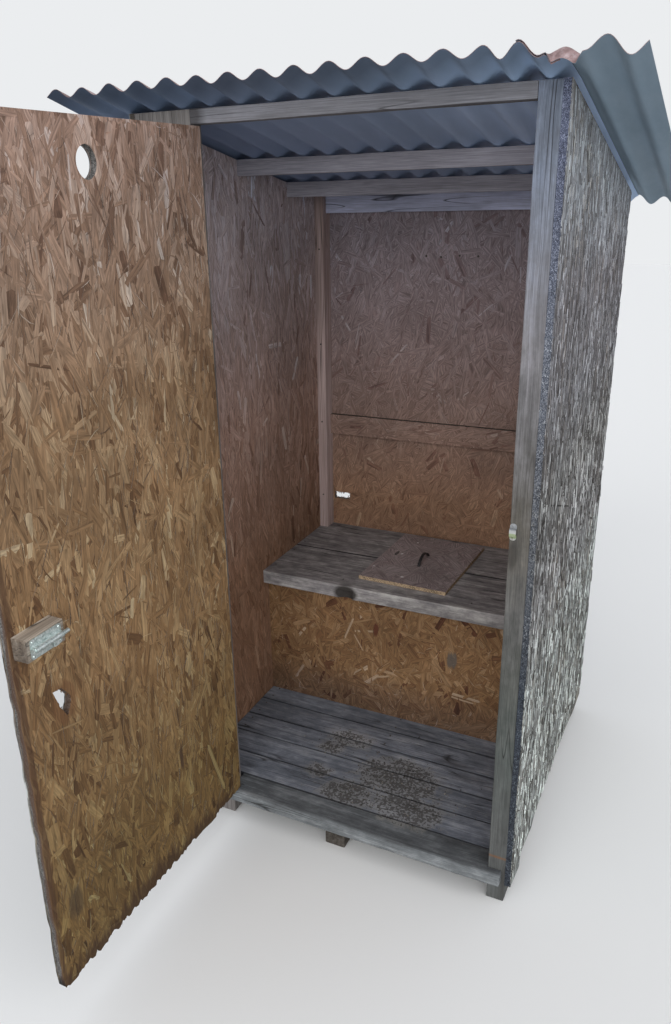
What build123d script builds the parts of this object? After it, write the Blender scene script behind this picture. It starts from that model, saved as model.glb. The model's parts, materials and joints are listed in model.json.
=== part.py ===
from build123d import *
import os
from math import cos, floor, radians, sin, sqrt, tan

os.makedirs("parts", exist_ok=True)

# A small wooden outhouse, in millimetres.
# X runs to the right along the front, Y from front to back, Z up.
# The origin is on the ground, under the middle of the floor plan.
# The door is modelled standing open, square to the front.

# Room and floor
ROOM_WIDTH = 972
HOUSE_DEPTH = 1012
DECK_TOP = 100
BOARD_T = 32
FRONT_BOARD_DEPTH = 89
NOSE = 28
NOSE_ROUND = 12
FLOOR_BOARD_WIDTH = 93
FLOOR_BOARD_GAP = 4
FLOOR_BOARD_COUNT = 6
SKID_WIDTH = 60

# Strand board walls
PANEL_T = 16
WALL_FOOT = 70
RIGHT_FOOT_FRONT = 55
RIGHT_FOOT_BACK = 50
SEAM = 0.3

# Frame timbers
POST_WIDTH = 46
POST_DEPTH = 46
PLANK_WIDTH = 152
NOTCH_CLEARANCE = 1
NOSE_SHORT = 9
HEADER_HEIGHT = 31.7
HEADER_DEPTH = 45
PURLIN_DEPTH = 45
PURLIN_HEIGHT = 44
MIDDLE_PURLIN_IN = 450
REAR_PURLIN_BACK = 248
RAIL_DEPTH = 33
RAIL_HEIGHT = 55
BATTEN_WIDTH = 33
BATTEN_DEPTH = 54

# Roof
ROOF_FALL = 11.3
ROOF_FRONT_Z = 1942
ROOF_SEAT = 0.3
SHEET_PITCH = 75.6
SHEET_WAVE = 27
FLANK_ANGLE = 50
SHEET_T = 3
SHEET_NEST = 0.3
FIRST_CREST_IN = 27.5
LEFT_OVERHANG = 144
RIGHT_OVERHANG = 137
RIGHT_SHEET_WIDTH = 219
SHEET_LAP = 78
FRONT_OVERHANG = 110
BACK_OVERHANG = 228

# Back wall
BELT_FOOT = 930
BELT_HEIGHT = 71
LOWER_BACK_TOP = 965
TOP_STRIP_HEIGHT = 120
UPPER_SEAM_LEFT = -74
UPPER_SEAM_RIGHT = 25
BACK_HOLE_IN = 70
BACK_HOLE_Z = 686
BACK_HOLE_WIDTH = 62
BACK_HOLE_HEIGHT = 26

# Bench
BENCH_BOX_DEPTH = 466
BENCH_RISE = 471
BENCH_T = 45
BENCH_OVERHANG = 35
BENCH_FRONT_DEPTH = 248
BENCH_GAP = 4
CLEAT_WIDTH = 30
CLEAT_HEIGHT = 40
BITE_IN = 304
BITE_RADIUS = 34
BITE_DEPTH = 11
BITE_HEIGHT = 30
SEAT_X = -10
SEAT_RADIUS = 110
LID_WIDTH = 297
LID_DEPTH = 396
LID_T = 12
LID_TURN = -2
LID_BACK = 13
LID_SEAT = 0.3
HANDLE_LENGTH = 104
HANDLE_WIDTH = 9
HANDLE_T = 3
HANDLE_RISE = 23
HANDLE_FOOT = 6

# Door
DOOR_T = 22
HINGE_GAP = 5
LATCH_GAP = 6
DOOR_FLOOR_GAP = 6
DOOR_HEAD_GAP = 6
VENT_OFF = 12.5
VENT_RADIUS = 31.7
VENT_DROP = 81
BREAK_EDGE = 118
BREAK_RISE = 681

# Hinges
PIN_OUT = 6
PIN_SIDE = 2.5
PIN_RADIUS = 3
PIN_FIT = 0.08
KNUCKLE_RADIUS = 5
KNUCKLE_GAP = 0.5
HINGE_HEIGHT = 75
LEAF_WIDTH = 33
LEAF_T = 2
LEAF_RELIEF = 4.5
LOW_HINGE_RISE = 244
HIGH_HINGE_DROP = 254

# Slide bolt
BLOCK_LENGTH = 102
BLOCK_HEIGHT = 48
BLOCK_T = 37
BLOCK_INSET = 6
BOLT_RISE = 863
BOLT_RADIUS = 4.5
BOLT_FIT = 0.08
BOLT_LENGTH = 96
BOLT_BACK = 9
BOLT_TRAVEL = 38
BOLT_PROUD = 6.5
PLATE_LENGTH = 84
PLATE_HEIGHT = 42
PLATE_ROUND = 7
PLATE_T = 1.5
HOUSING_LENGTH = 76
HOUSING_WALL = 1.5
TAB_LENGTH = 12
TAB_T = 3
TAB_DROP = 17
TAB_CLEARANCE = 1
TAB_SIDE = 0.6

# Keeper on the right post
KEEPER_WIDTH = 15
KEEPER_HEIGHT = 40
KEEPER_T = 1.5
KEEPER_LOOP = 18
KEEPER_PROUD = 8
KEEPER_IN = 1
KEEPER_RISE = 942
KEEPER_ROUND = 7
KEEPER_SCREW = 2.2
KEEPER_SCREW_IN = 5.5

# Values that follow from the sizes above
half = ROOM_WIDTH / 2
front = -HOUSE_DEPTH / 2
back = HOUSE_DEPTH / 2
back_in = back - PANEL_T
post_left = half - POST_WIDTH
plank_right = -half + PLANK_WIDTH
skid_top = DECK_TOP - BOARD_T
bench_top = DECK_TOP + BENCH_RISE
bench_under = bench_top - BENCH_T
fall = radians(ROOF_FALL)
roof_edge_front = front - FRONT_OVERHANG
roof_edge_back = back + BACK_OVERHANG
roof_left = -half - PANEL_T - LEFT_OVERHANG
roof_right = half + PANEL_T + RIGHT_OVERHANG
right_sheet_left = roof_right - RIGHT_SHEET_WIDTH
left_sheet_right = right_sheet_left + SHEET_LAP
first_crest = roof_left + FIRST_CREST_IN


def roof_z(y):
    # height of the plane that the valleys of the roof sheets lie on
    return ROOF_FRONT_Z - (y - front) * tan(fall)


def under_roof(y):
    # top of a piece that carries the roof sheets
    return roof_z(y) - ROOF_SEAT


def up_to_roof(y0, y1, foot):
    # corners, in the YZ plane, of a face that ends in a slope under the roof
    return (y0, foot), (y1, foot), (y1, under_roof(y1)), (y0, under_roof(y0))


# Base skids
with BuildPart() as base_skids:
    with BuildSketch() as skid_plan:
        for side_x in (-half + SKID_WIDTH / 2, half - SKID_WIDTH / 2):
            with Locations((side_x, (front + POST_DEPTH + back_in) / 2)):
                Rectangle(SKID_WIDTH, back_in - front - POST_DEPTH)
        with Locations((0, (front + back_in) / 2)):
            Rectangle(SKID_WIDTH, back_in - front)
    extrude(amount=skid_top)
base_skids.part.label = "base_skids"
export_step(base_skids.part, "parts/base_skids.step")

# Front floor board, notched round the plank and the post
nose_front = front - NOSE
front_board_back = front + FRONT_BOARD_DEPTH - NOSE
with BuildPart() as front_floor_board:
    with BuildSketch(Plane.XY.offset(skid_top)):
        with Locations((0, (nose_front + front_board_back) / 2)):
            Rectangle(ROOM_WIDTH, front_board_back - nose_front)
        notch_front = front - NOTCH_CLEARANCE
        notch_y = (notch_front + front_board_back) / 2
        notch_depth = front_board_back - notch_front
        with Locations((-half + (PLANK_WIDTH + NOTCH_CLEARANCE) / 2, notch_y)):
            Rectangle(PLANK_WIDTH + NOTCH_CLEARANCE, notch_depth, mode=Mode.SUBTRACT)
        with Locations((half - (POST_WIDTH + NOTCH_CLEARANCE) / 2, notch_y)):
            Rectangle(POST_WIDTH + NOTCH_CLEARANCE, notch_depth, mode=Mode.SUBTRACT)
        with Locations((half - NOSE_SHORT / 2, (nose_front + notch_front) / 2)):
            Rectangle(NOSE_SHORT, notch_front - nose_front, mode=Mode.SUBTRACT)
    extrude(amount=BOARD_T)
    nose_edges = front_floor_board.edges().filter_by(Axis.X).group_by(Axis.Y)[0]
    fillet(nose_edges.sort_by(Axis.Z)[-1], radius=NOSE_ROUND)
front_floor_board.part.label = "front_floor_board"
export_step(front_floor_board.part, "parts/front_floor_board.step")

# Floor boards
board_step = FLOOR_BOARD_WIDTH + FLOOR_BOARD_GAP
first_board_front = front_board_back + FLOOR_BOARD_GAP
with BuildPart() as floor_boards:
    with BuildSketch(Plane.XY.offset(skid_top)):
        for index in range(FLOOR_BOARD_COUNT):
            board_front = first_board_front + index * board_step
            with Locations((0, board_front + FLOOR_BOARD_WIDTH / 2)):
                Rectangle(ROOM_WIDTH, FLOOR_BOARD_WIDTH)
    extrude(amount=BOARD_T)
floor_boards.part.label = "floor_boards"
export_step(floor_boards.part, "parts/floor_boards.step")

# Right front post
with BuildPart() as right_front_post:
    with BuildSketch(Plane.YZ.offset(post_left)):
        post_back = front + POST_DEPTH
        Polygon(*up_to_roof(front, post_back, 0), align=None)
    extrude(amount=POST_WIDTH)
right_front_post.part.label = "right_front_post"
export_step(right_front_post.part, "parts/right_front_post.step")

# Wide plank left of the doorway
with BuildPart() as left_front_plank:
    with BuildSketch(Plane.YZ.offset(-half)):
        Polygon(*up_to_roof(front, post_back, 0), align=None)
    extrude(amount=PLANK_WIDTH)
left_front_plank.part.label = "left_front_plank"
export_step(left_front_plank.part, "parts/left_front_plank.step")

# Header over the doorway
header_back = front + HEADER_DEPTH
header_foot = under_roof(front) - HEADER_HEIGHT
with BuildPart() as header:
    with BuildSketch(Plane.YZ.offset(plank_right)):
        Polygon(*up_to_roof(front, header_back, header_foot), align=None)
    extrude(amount=post_left - plank_right)
header.part.label = "header"
export_step(header.part, "parts/header.step")

# Middle purlin
middle_front = front + MIDDLE_PURLIN_IN
middle_back = middle_front + PURLIN_DEPTH
with BuildPart() as middle_purlin:
    with BuildSketch(Plane.YZ.offset(-half)):
        middle_foot = under_roof(middle_front) - PURLIN_HEIGHT
        Polygon(*up_to_roof(middle_front, middle_back, middle_foot), align=None)
    extrude(amount=ROOM_WIDTH)
middle_purlin.part.label = "middle_purlin"
export_step(middle_purlin.part, "parts/middle_purlin.step")

# Rear purlin
rear_front = back_in - REAR_PURLIN_BACK
rear_back = rear_front + PURLIN_DEPTH
with BuildPart() as rear_purlin:
    with BuildSketch(Plane.YZ.offset(-half)):
        rear_foot = under_roof(rear_front) - PURLIN_HEIGHT
        Polygon(*up_to_roof(rear_front, rear_back, rear_foot), align=None)
    extrude(amount=ROOM_WIDTH)
rear_purlin.part.label = "rear_purlin"
export_step(rear_purlin.part, "parts/rear_purlin.step")

# Rail along the top of the back wall, between the corner battens
rail_front = back_in - RAIL_DEPTH
with BuildPart() as back_top_rail:
    with BuildSketch(Plane.YZ.offset(-half + BATTEN_WIDTH)):
        rail_foot = under_roof(rail_front) - RAIL_HEIGHT
        Polygon(*up_to_roof(rail_front, back_in, rail_foot), align=None)
    extrude(amount=ROOM_WIDTH - 2 * BATTEN_WIDTH)
back_top_rail.part.label = "back_top_rail"
export_step(back_top_rail.part, "parts/back_top_rail.step")

# Corner battens, standing on the bench
batten_front = back_in - BATTEN_DEPTH
with BuildPart() as left_corner_batten:
    with BuildSketch(Plane.YZ.offset(-half)):
        Polygon(*up_to_roof(batten_front, back_in, bench_top), align=None)
    extrude(amount=BATTEN_WIDTH)
left_corner_batten.part.label = "left_corner_batten"
export_step(left_corner_batten.part, "parts/left_corner_batten.step")

with BuildPart() as right_corner_batten:
    with BuildSketch(Plane.YZ.offset(half - BATTEN_WIDTH)):
        Polygon(*up_to_roof(batten_front, back_in, bench_top), align=None)
    extrude(amount=BATTEN_WIDTH)
right_corner_batten.part.label = "right_corner_batten"
export_step(right_corner_batten.part, "parts/right_corner_batten.step")

# Side walls
with BuildPart() as left_wall:
    with BuildSketch(Plane.YZ.offset(-half - PANEL_T)):
        Polygon(*up_to_roof(front, back, WALL_FOOT), align=None)
    extrude(amount=PANEL_T)
left_wall.part.label = "left_wall"
export_step(left_wall.part, "parts/left_wall.step")

# The right wall has a rotten, ragged foot: distance from the front, then height
ragged_foot = (
    (100, 40),
    (110, 80),
    (240, 60),
    (285, 82),
    (370, 80),
    (510, 100),
    (660, 90),
    (890, 50),
)
with BuildPart() as right_wall:
    with BuildSketch(Plane.YZ.offset(half)):
        with BuildLine():
            foot_corners = [(front + run, rise) for run, rise in ragged_foot]
            Polyline((front, RIGHT_FOOT_FRONT), *foot_corners, (back, RIGHT_FOOT_BACK))
            Polyline(
                (back, RIGHT_FOOT_BACK),
                (back, under_roof(back)),
                (front, under_roof(front)),
                (front, RIGHT_FOOT_FRONT),
            )
        make_face()
    extrude(amount=PANEL_T)
right_wall.part.label = "right_wall"
export_step(right_wall.part, "parts/right_wall.step")

# Back wall below the belt, with the broken hole
with BuildPart() as back_wall_lower:
    with BuildSketch(Plane.XZ.offset(-back)):
        with Locations((0, (WALL_FOOT + LOWER_BACK_TOP) / 2)):
            Rectangle(ROOM_WIDTH, LOWER_BACK_TOP - WALL_FOOT)
        with Locations((-half + BACK_HOLE_IN, BACK_HOLE_Z)):
            Rectangle(BACK_HOLE_WIDTH, BACK_HOLE_HEIGHT, mode=Mode.SUBTRACT)
    extrude(amount=PANEL_T)
back_wall_lower.part.label = "back_wall_lower"
export_step(back_wall_lower.part, "parts/back_wall_lower.step")

# Three boards side by side above it
upper_foot = LOWER_BACK_TOP + SEAM
upper_back_top = under_roof(back_in) - TOP_STRIP_HEIGHT
with BuildPart() as back_wall_upper:
    with BuildSketch(Plane.XZ.offset(-back)):
        for left, right in (
            (-half, UPPER_SEAM_LEFT - SEAM / 2),
            (UPPER_SEAM_LEFT + SEAM / 2, UPPER_SEAM_RIGHT - SEAM / 2),
            (UPPER_SEAM_RIGHT + SEAM / 2, half),
        ):
            with Locations(((left + right) / 2, (upper_foot + upper_back_top) / 2)):
                Rectangle(right - left, upper_back_top - upper_foot)
    extrude(amount=PANEL_T)
back_wall_upper.part.label = "back_wall_upper"
export_step(back_wall_upper.part, "parts/back_wall_upper.step")

# Strip between those boards and the roof
with BuildPart() as back_wall_top:
    with BuildSketch(Plane.YZ.offset(-half)):
        Polygon(*up_to_roof(back_in, back, upper_back_top + SEAM), align=None)
    extrude(amount=ROOM_WIDTH)
back_wall_top.part.label = "back_wall_top"
export_step(back_wall_top.part, "parts/back_wall_top.step")

# Belt strip over the joint, inside
with BuildPart() as back_belt_strip:
    with BuildSketch(Plane.XZ.offset(-back_in)):
        with Locations((0, BELT_FOOT + BELT_HEIGHT / 2)):
            Rectangle(ROOM_WIDTH - 2 * BATTEN_WIDTH, BELT_HEIGHT)
    extrude(amount=PANEL_T)
back_belt_strip.part.label = "back_belt_strip"
export_step(back_belt_strip.part, "parts/back_belt_strip.step")

# Bench front panel
bench_panel_front = back_in - BENCH_BOX_DEPTH
bench_panel_back = bench_panel_front + PANEL_T
with BuildPart() as bench_front_panel:
    with BuildSketch(Plane.XY.offset(DECK_TOP)):
        with Locations((0, (bench_panel_front + bench_panel_back) / 2)):
            Rectangle(ROOM_WIDTH, PANEL_T)
    extrude(amount=bench_under - DECK_TOP)
bench_front_panel.part.label = "bench_front_panel"
export_step(bench_front_panel.part, "parts/bench_front_panel.step")

# Bench planks with the seat hole across their joint
bench_nose = bench_panel_front - BENCH_OVERHANG
bench_split = bench_nose + BENCH_FRONT_DEPTH
seat_y = bench_split + BENCH_GAP / 2
with BuildPart() as bench_front_plank:
    with BuildSketch(Plane.XY.offset(bench_under)):
        with Locations((0, (bench_nose + bench_split) / 2)):
            Rectangle(ROOM_WIDTH, BENCH_FRONT_DEPTH)
        with Locations((SEAT_X, seat_y)):
            Circle(SEAT_RADIUS, mode=Mode.SUBTRACT)
    extrude(amount=BENCH_T)
    with BuildSketch(Plane.XY.offset(bench_under)):
        with Locations((-half + BITE_IN, bench_nose + BITE_DEPTH - BITE_RADIUS)):
            Circle(BITE_RADIUS)
    extrude(amount=BITE_HEIGHT, mode=Mode.SUBTRACT)
bench_front_plank.part.label = "bench_front_plank"
export_step(bench_front_plank.part, "parts/bench_front_plank.step")

rear_plank_front = bench_split + BENCH_GAP
with BuildPart() as bench_rear_plank:
    with BuildSketch(Plane.XY.offset(bench_under)):
        with Locations((0, (rear_plank_front + back_in) / 2)):
            Rectangle(ROOM_WIDTH, back_in - rear_plank_front)
        with Locations((SEAT_X, seat_y)):
            Circle(SEAT_RADIUS, mode=Mode.SUBTRACT)
    extrude(amount=BENCH_T)
bench_rear_plank.part.label = "bench_rear_plank"
export_step(bench_rear_plank.part, "parts/bench_rear_plank.step")

# Cleats on the side walls that carry the planks
with BuildPart() as bench_cleats:
    with BuildSketch(Plane.XY.offset(bench_under - CLEAT_HEIGHT)):
        for cleat_x in (-half + CLEAT_WIDTH / 2, half - CLEAT_WIDTH / 2):
            with Locations((cleat_x, (bench_panel_back + back_in) / 2)):
                Rectangle(CLEAT_WIDTH, back_in - bench_panel_back)
    extrude(amount=CLEAT_HEIGHT)
bench_cleats.part.label = "bench_cleats"
export_step(bench_cleats.part, "parts/bench_cleats.step")

# Seat lid, lying a little askew over the hole
lid_y = seat_y + LID_BACK
lid_foot = bench_top + LID_SEAT
lid_top = lid_foot + LID_T
with BuildPart() as seat_lid:
    with BuildSketch(Plane.XY.offset(lid_foot)):
        with Locations((SEAT_X, lid_y)):
            Rectangle(LID_WIDTH, LID_DEPTH, rotation=LID_TURN)
    extrude(amount=LID_T)
seat_lid.part.label = "seat_lid"
export_step(seat_lid.part, "parts/seat_lid.step")

# Bent strap handle on the lid
with BuildPart() as lid_handle:
    with BuildSketch(Plane.YZ.offset(SEAT_X - HANDLE_WIDTH / 2)):
        with BuildLine():
            foot_front = lid_y - HANDLE_LENGTH / 2
            foot_back = lid_y + HANDLE_LENGTH / 2
            arch_front = foot_front + HANDLE_FOOT
            arch_back = foot_back - HANDLE_FOOT
            Line((foot_front, lid_top), (arch_front, lid_top))
            ThreePointArc((arch_front, lid_top), (lid_y, lid_top + HANDLE_RISE), (arch_back, lid_top))
            Line((arch_back, lid_top), (foot_back, lid_top))
            Line((foot_back, lid_top), (foot_back, lid_top + HANDLE_T))
            Line((foot_back, lid_top + HANDLE_T), (arch_back + HANDLE_T, lid_top + HANDLE_T))
            ThreePointArc(
                (arch_back + HANDLE_T, lid_top + HANDLE_T),
                (lid_y, lid_top + HANDLE_RISE + HANDLE_T),
                (arch_front - HANDLE_T, lid_top + HANDLE_T),
            )
            Line((arch_front - HANDLE_T, lid_top + HANDLE_T), (foot_front, lid_top + HANDLE_T))
            Line((foot_front, lid_top + HANDLE_T), (foot_front, lid_top))
        make_face()
    extrude(amount=HANDLE_WIDTH)
lid_handle.part.label = "lid_handle"
export_step(lid_handle.part, "parts/lid_handle.step")


# Corrugated roof sheets
sheet_length = (roof_edge_back - roof_edge_front) / cos(fall)
half_pitch = SHEET_PITCH / 2
flank = radians(FLANK_ANGLE)
bend = (half_pitch / 2 * tan(flank) - SHEET_WAVE / 2) / (1 / cos(flank) - 1)
bend_half = bend * sin(flank)


def wave_height(x):
    # height of the section at x: round crests and valleys joined by straight flanks
    run = abs((x - first_crest + half_pitch) % SHEET_PITCH - half_pitch)
    if run <= bend_half:
        return SHEET_WAVE - bend + sqrt(bend**2 - run**2)
    if run >= half_pitch - bend_half:
        return bend - sqrt(bend**2 - (half_pitch - run) ** 2)
    return SHEET_WAVE / 2 + (half_pitch / 2 - run) * tan(flank)


def wave_line(left, right, lift):
    # one wavy line between two edges, bend by bend and flank by flank
    turns = [left]
    number = floor((left - first_crest) / half_pitch)
    while first_crest + number * half_pitch < right + half_pitch:
        middle = first_crest + number * half_pitch
        for x in (middle - bend_half, middle + bend_half):
            if left + 0.5 < x < right - 0.5:
                turns.append(x)
        number += 1
    turns.append(right)
    for x0, x1 in zip(turns[:-1], turns[1:]):
        start = (x0, lift + wave_height(x0))
        middle = ((x0 + x1) / 2, lift + wave_height((x0 + x1) / 2))
        end = (x1, lift + wave_height(x1))
        if abs(middle[1] - (start[1] + end[1]) / 2) < 0.001:
            Line(start, end)
        else:
            ThreePointArc(start, middle, end)


def sheet_edge(x):
    # short end of a sheet's section
    Line((x, wave_height(x)), (x, wave_height(x) + SHEET_T))


def sheet_plane(lift):
    # plane across the front edge of a sheet, its Y square to the roof
    return Plane(
        origin=(0, roof_edge_front + lift * sin(fall), roof_z(roof_edge_front) + lift * cos(fall)),
        x_dir=(1, 0, 0),
        z_dir=(0, -cos(fall), sin(fall)),
    )


with BuildPart() as roof_sheet_left:
    with BuildSketch(sheet_plane(0)):
        with BuildLine():
            wave_line(roof_left, left_sheet_right, 0)
            sheet_edge(left_sheet_right)
            wave_line(roof_left, left_sheet_right, SHEET_T)
            sheet_edge(roof_left)
        make_face()
    extrude(amount=-sheet_length)
roof_sheet_left.part.label = "roof_sheet_left"
export_step(roof_sheet_left.part, "parts/roof_sheet_left.step")

with BuildPart() as roof_sheet_right:
    with BuildSketch(sheet_plane(SHEET_T + SHEET_NEST)):
        with BuildLine():
            wave_line(right_sheet_left, roof_right, 0)
            sheet_edge(roof_right)
            wave_line(right_sheet_left, roof_right, SHEET_T)
            sheet_edge(right_sheet_left)
        make_face()
    extrude(amount=-sheet_length)
roof_sheet_right.part.label = "roof_sheet_right"
export_step(roof_sheet_right.part, "parts/roof_sheet_right.step")

# Door geometry: the pin stands in front of the plank's edge
pin_x = plank_right + PIN_SIDE
pin_y = front - PIN_OUT
door_outer = pin_x + PIN_OUT
door_inner = door_outer + DOOR_T
door_root = pin_y - (HINGE_GAP - PIN_SIDE)
door_width = post_left - plank_right - HINGE_GAP - LATCH_GAP
door_foot = DECK_TOP + DOOR_FLOOR_GAP
door_top = header_foot - DOOR_HEAD_GAP
# local X runs from the hinge edge to the free edge, local Y up, the normal outwards
door_face = Plane(origin=(door_inner, door_root, 0), x_dir=(0, -1, 0), z_dir=(-1, 0, 0))

# Door panel with the vent and the broken hole
broken_outline = ((3, 36), (27, 37), (13, -5), (-7, -44), (-20, -17), (-25, 0))
with BuildPart() as door_panel:
    with BuildSketch(door_face):
        with Locations((door_width / 2, (door_foot + door_top) / 2)):
            Rectangle(door_width, door_top - door_foot)
        with Locations((door_width / 2 + VENT_OFF, door_top - VENT_DROP)):
            Circle(VENT_RADIUS, mode=Mode.SUBTRACT)
        with Locations((door_width - BREAK_EDGE, door_foot + BREAK_RISE)):
            Polygon(*broken_outline, align=None, mode=Mode.SUBTRACT)
    extrude(amount=DOOR_T)
door_panel.part.label = "door_panel"
export_step(door_panel.part, "parts/door_panel.step")

# Block that carries the slide bolt
block_free = door_width - BLOCK_INSET
block_mid = block_free - BLOCK_LENGTH / 2
bolt_z = door_foot + BOLT_RISE
with BuildPart() as bolt_block:
    with BuildSketch(door_face):
        with Locations((block_mid, bolt_z)):
            Rectangle(BLOCK_LENGTH, BLOCK_HEIGHT)
    extrude(amount=-BLOCK_T)
bolt_block.part.label = "bolt_block"
export_step(bolt_block.part, "parts/bolt_block.step")

# Bolt plate with its round housing, slotted below for the thumb tab
plate_foot = door_inner + BLOCK_T
bolt_x = plate_foot + PLATE_T + BOLT_PROUD
housing_radius = BOLT_RADIUS + BOLT_FIT + HOUSING_WALL
slot_length = BOLT_TRAVEL + TAB_LENGTH + 2 * TAB_CLEARANCE
plate_face = Plane(origin=(plate_foot, door_root, 0), x_dir=(0, -1, 0), z_dir=(-1, 0, 0))
with BuildPart() as bolt_plate:
    with BuildSketch(plate_face):
        with Locations((block_mid, bolt_z)):
            RectangleRounded(PLATE_LENGTH, PLATE_HEIGHT, PLATE_ROUND)
    extrude(amount=-PLATE_T)
    with BuildSketch(Plane.XZ.offset(-(door_root - block_mid + HOUSING_LENGTH / 2))):
        with Locations((bolt_x, bolt_z)):
            Circle(housing_radius)
        with Locations(((plate_foot + bolt_x) / 2, bolt_z)):
            Rectangle(bolt_x - plate_foot, 2 * housing_radius)
    extrude(amount=HOUSING_LENGTH)
    with BuildSketch(Plane.XZ.offset(-door_root)):
        with Locations((bolt_x, bolt_z)):
            Circle(BOLT_RADIUS + BOLT_FIT)
    extrude(amount=door_width, mode=Mode.SUBTRACT)
    with BuildSketch(Plane.XY.offset(bolt_z - 2 * housing_radius)):
        with Locations((bolt_x, door_root - block_mid)):
            Rectangle(TAB_T + 2 * TAB_SIDE, slot_length)
    extrude(amount=2 * housing_radius, mode=Mode.SUBTRACT)
bolt_plate.part.label = "bolt_plate"
export_step(bolt_plate.part, "parts/bolt_plate.step")

# Bolt rod with its thumb tab, drawn back
bolt_tip = block_free - BOLT_BACK
bolt_tail = bolt_tip - BOLT_LENGTH
tab_in = block_mid - slot_length / 2 + TAB_CLEARANCE + TAB_LENGTH / 2
with BuildPart() as bolt_rod:
    with BuildSketch(Plane.XZ.offset(-(door_root - bolt_tail))):
        with Locations((bolt_x, bolt_z)):
            Circle(BOLT_RADIUS)
    extrude(amount=BOLT_LENGTH)
    with BuildSketch(Plane.XY.offset(bolt_z)):
        with Locations((bolt_x, door_root - tab_in)):
            Rectangle(TAB_T, TAB_LENGTH)
    extrude(amount=-TAB_DROP)
bolt_rod.part.label = "bolt_rod"
export_step(bolt_rod.part, "parts/bolt_rod.step")

# Hinges: the frame leaf carries the pin and the two outer knuckles
knuckle = HINGE_HEIGHT / 3
hinge_feet = (
    door_foot + LOW_HINGE_RISE - HINGE_HEIGHT / 2,
    door_top - HIGH_HINGE_DROP - HINGE_HEIGHT / 2,
)
with BuildPart() as frame_hinge_leaves:
    for foot in hinge_feet:
        with BuildSketch(Plane.XY.offset(foot)):
            with Locations((pin_x, pin_y)):
                Circle(PIN_RADIUS)
        extrude(amount=HINGE_HEIGHT)
        for start in (foot, foot + 2 * knuckle):
            with BuildSketch(Plane.XY.offset(start)):
                with Locations((pin_x, pin_y)):
                    Circle(KNUCKLE_RADIUS)
                with Locations((pin_x - LEAF_WIDTH / 2, front - LEAF_T / 2)):
                    Rectangle(LEAF_WIDTH, LEAF_T)
            extrude(amount=knuckle)
        with BuildSketch(Plane.XY.offset(foot)):
            with Locations((pin_x - (LEAF_WIDTH + LEAF_RELIEF) / 2, front - LEAF_T / 2)):
                Rectangle(LEAF_WIDTH - LEAF_RELIEF, LEAF_T)
        extrude(amount=HINGE_HEIGHT)
frame_hinge_leaves.part.label = "frame_hinge_leaves"
export_step(frame_hinge_leaves.part, "parts/frame_hinge_leaves.step")

# The door leaf carries the middle knuckle
with BuildPart() as door_hinge_leaves:
    for foot in hinge_feet:
        with BuildSketch(Plane.XY.offset(foot + knuckle + KNUCKLE_GAP)):
            with Locations((pin_x, pin_y)):
                Circle(KNUCKLE_RADIUS)
            with Locations((door_outer - LEAF_T / 2, pin_y - LEAF_WIDTH / 2)):
                Rectangle(LEAF_T, LEAF_WIDTH)
            with Locations((pin_x, pin_y)):
                Circle(PIN_RADIUS + PIN_FIT, mode=Mode.SUBTRACT)
        extrude(amount=knuckle - 2 * KNUCKLE_GAP)
        with BuildSketch(Plane.XY.offset(foot)):
            with Locations((door_outer - LEAF_T / 2, pin_y - (LEAF_WIDTH + LEAF_RELIEF) / 2)):
                Rectangle(LEAF_T, LEAF_WIDTH - LEAF_RELIEF)
        extrude(amount=HINGE_HEIGHT)
door_hinge_leaves.part.label = "door_hinge_leaves"
export_step(door_hinge_leaves.part, "parts/door_hinge_leaves.step")

# Keeper on the front of the right post
keeper_left = post_left + KEEPER_IN
keeper_z = DECK_TOP + KEEPER_RISE
with BuildPart() as bolt_keeper:
    with BuildSketch(Plane.XZ.offset(-front)):
        with Locations((keeper_left + KEEPER_WIDTH / 2, keeper_z)):
            RectangleRounded(KEEPER_WIDTH, KEEPER_HEIGHT, KEEPER_ROUND)
        for rise in (KEEPER_SCREW_IN - KEEPER_HEIGHT / 2, KEEPER_HEIGHT / 2 - KEEPER_SCREW_IN):
            with Locations((keeper_left + KEEPER_WIDTH / 2, keeper_z + rise)):
                Circle(KEEPER_SCREW, mode=Mode.SUBTRACT)
    extrude(amount=KEEPER_T)
    with BuildSketch(Plane.YZ.offset(keeper_left)):
        with Locations((front - KEEPER_PROUD / 2, keeper_z)):
            Rectangle(KEEPER_PROUD, KEEPER_LOOP)
    extrude(amount=KEEPER_WIDTH)
    with BuildSketch(Plane.YZ.offset(keeper_left)):
        with Locations((front - (KEEPER_PROUD - KEEPER_T) / 2, keeper_z)):
            Rectangle(KEEPER_PROUD - KEEPER_T, KEEPER_LOOP - 2 * KEEPER_T)
    extrude(amount=KEEPER_WIDTH, mode=Mode.SUBTRACT)
bolt_keeper.part.label = "bolt_keeper"
export_step(bolt_keeper.part, "parts/bolt_keeper.step")
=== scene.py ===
import bpy
import bmesh
import json
import random
from functools import cached_property
from math import atan2, cos, degrees, hypot, pi, radians, sin, tan
from mathutils import Matrix, Vector, noise

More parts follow.
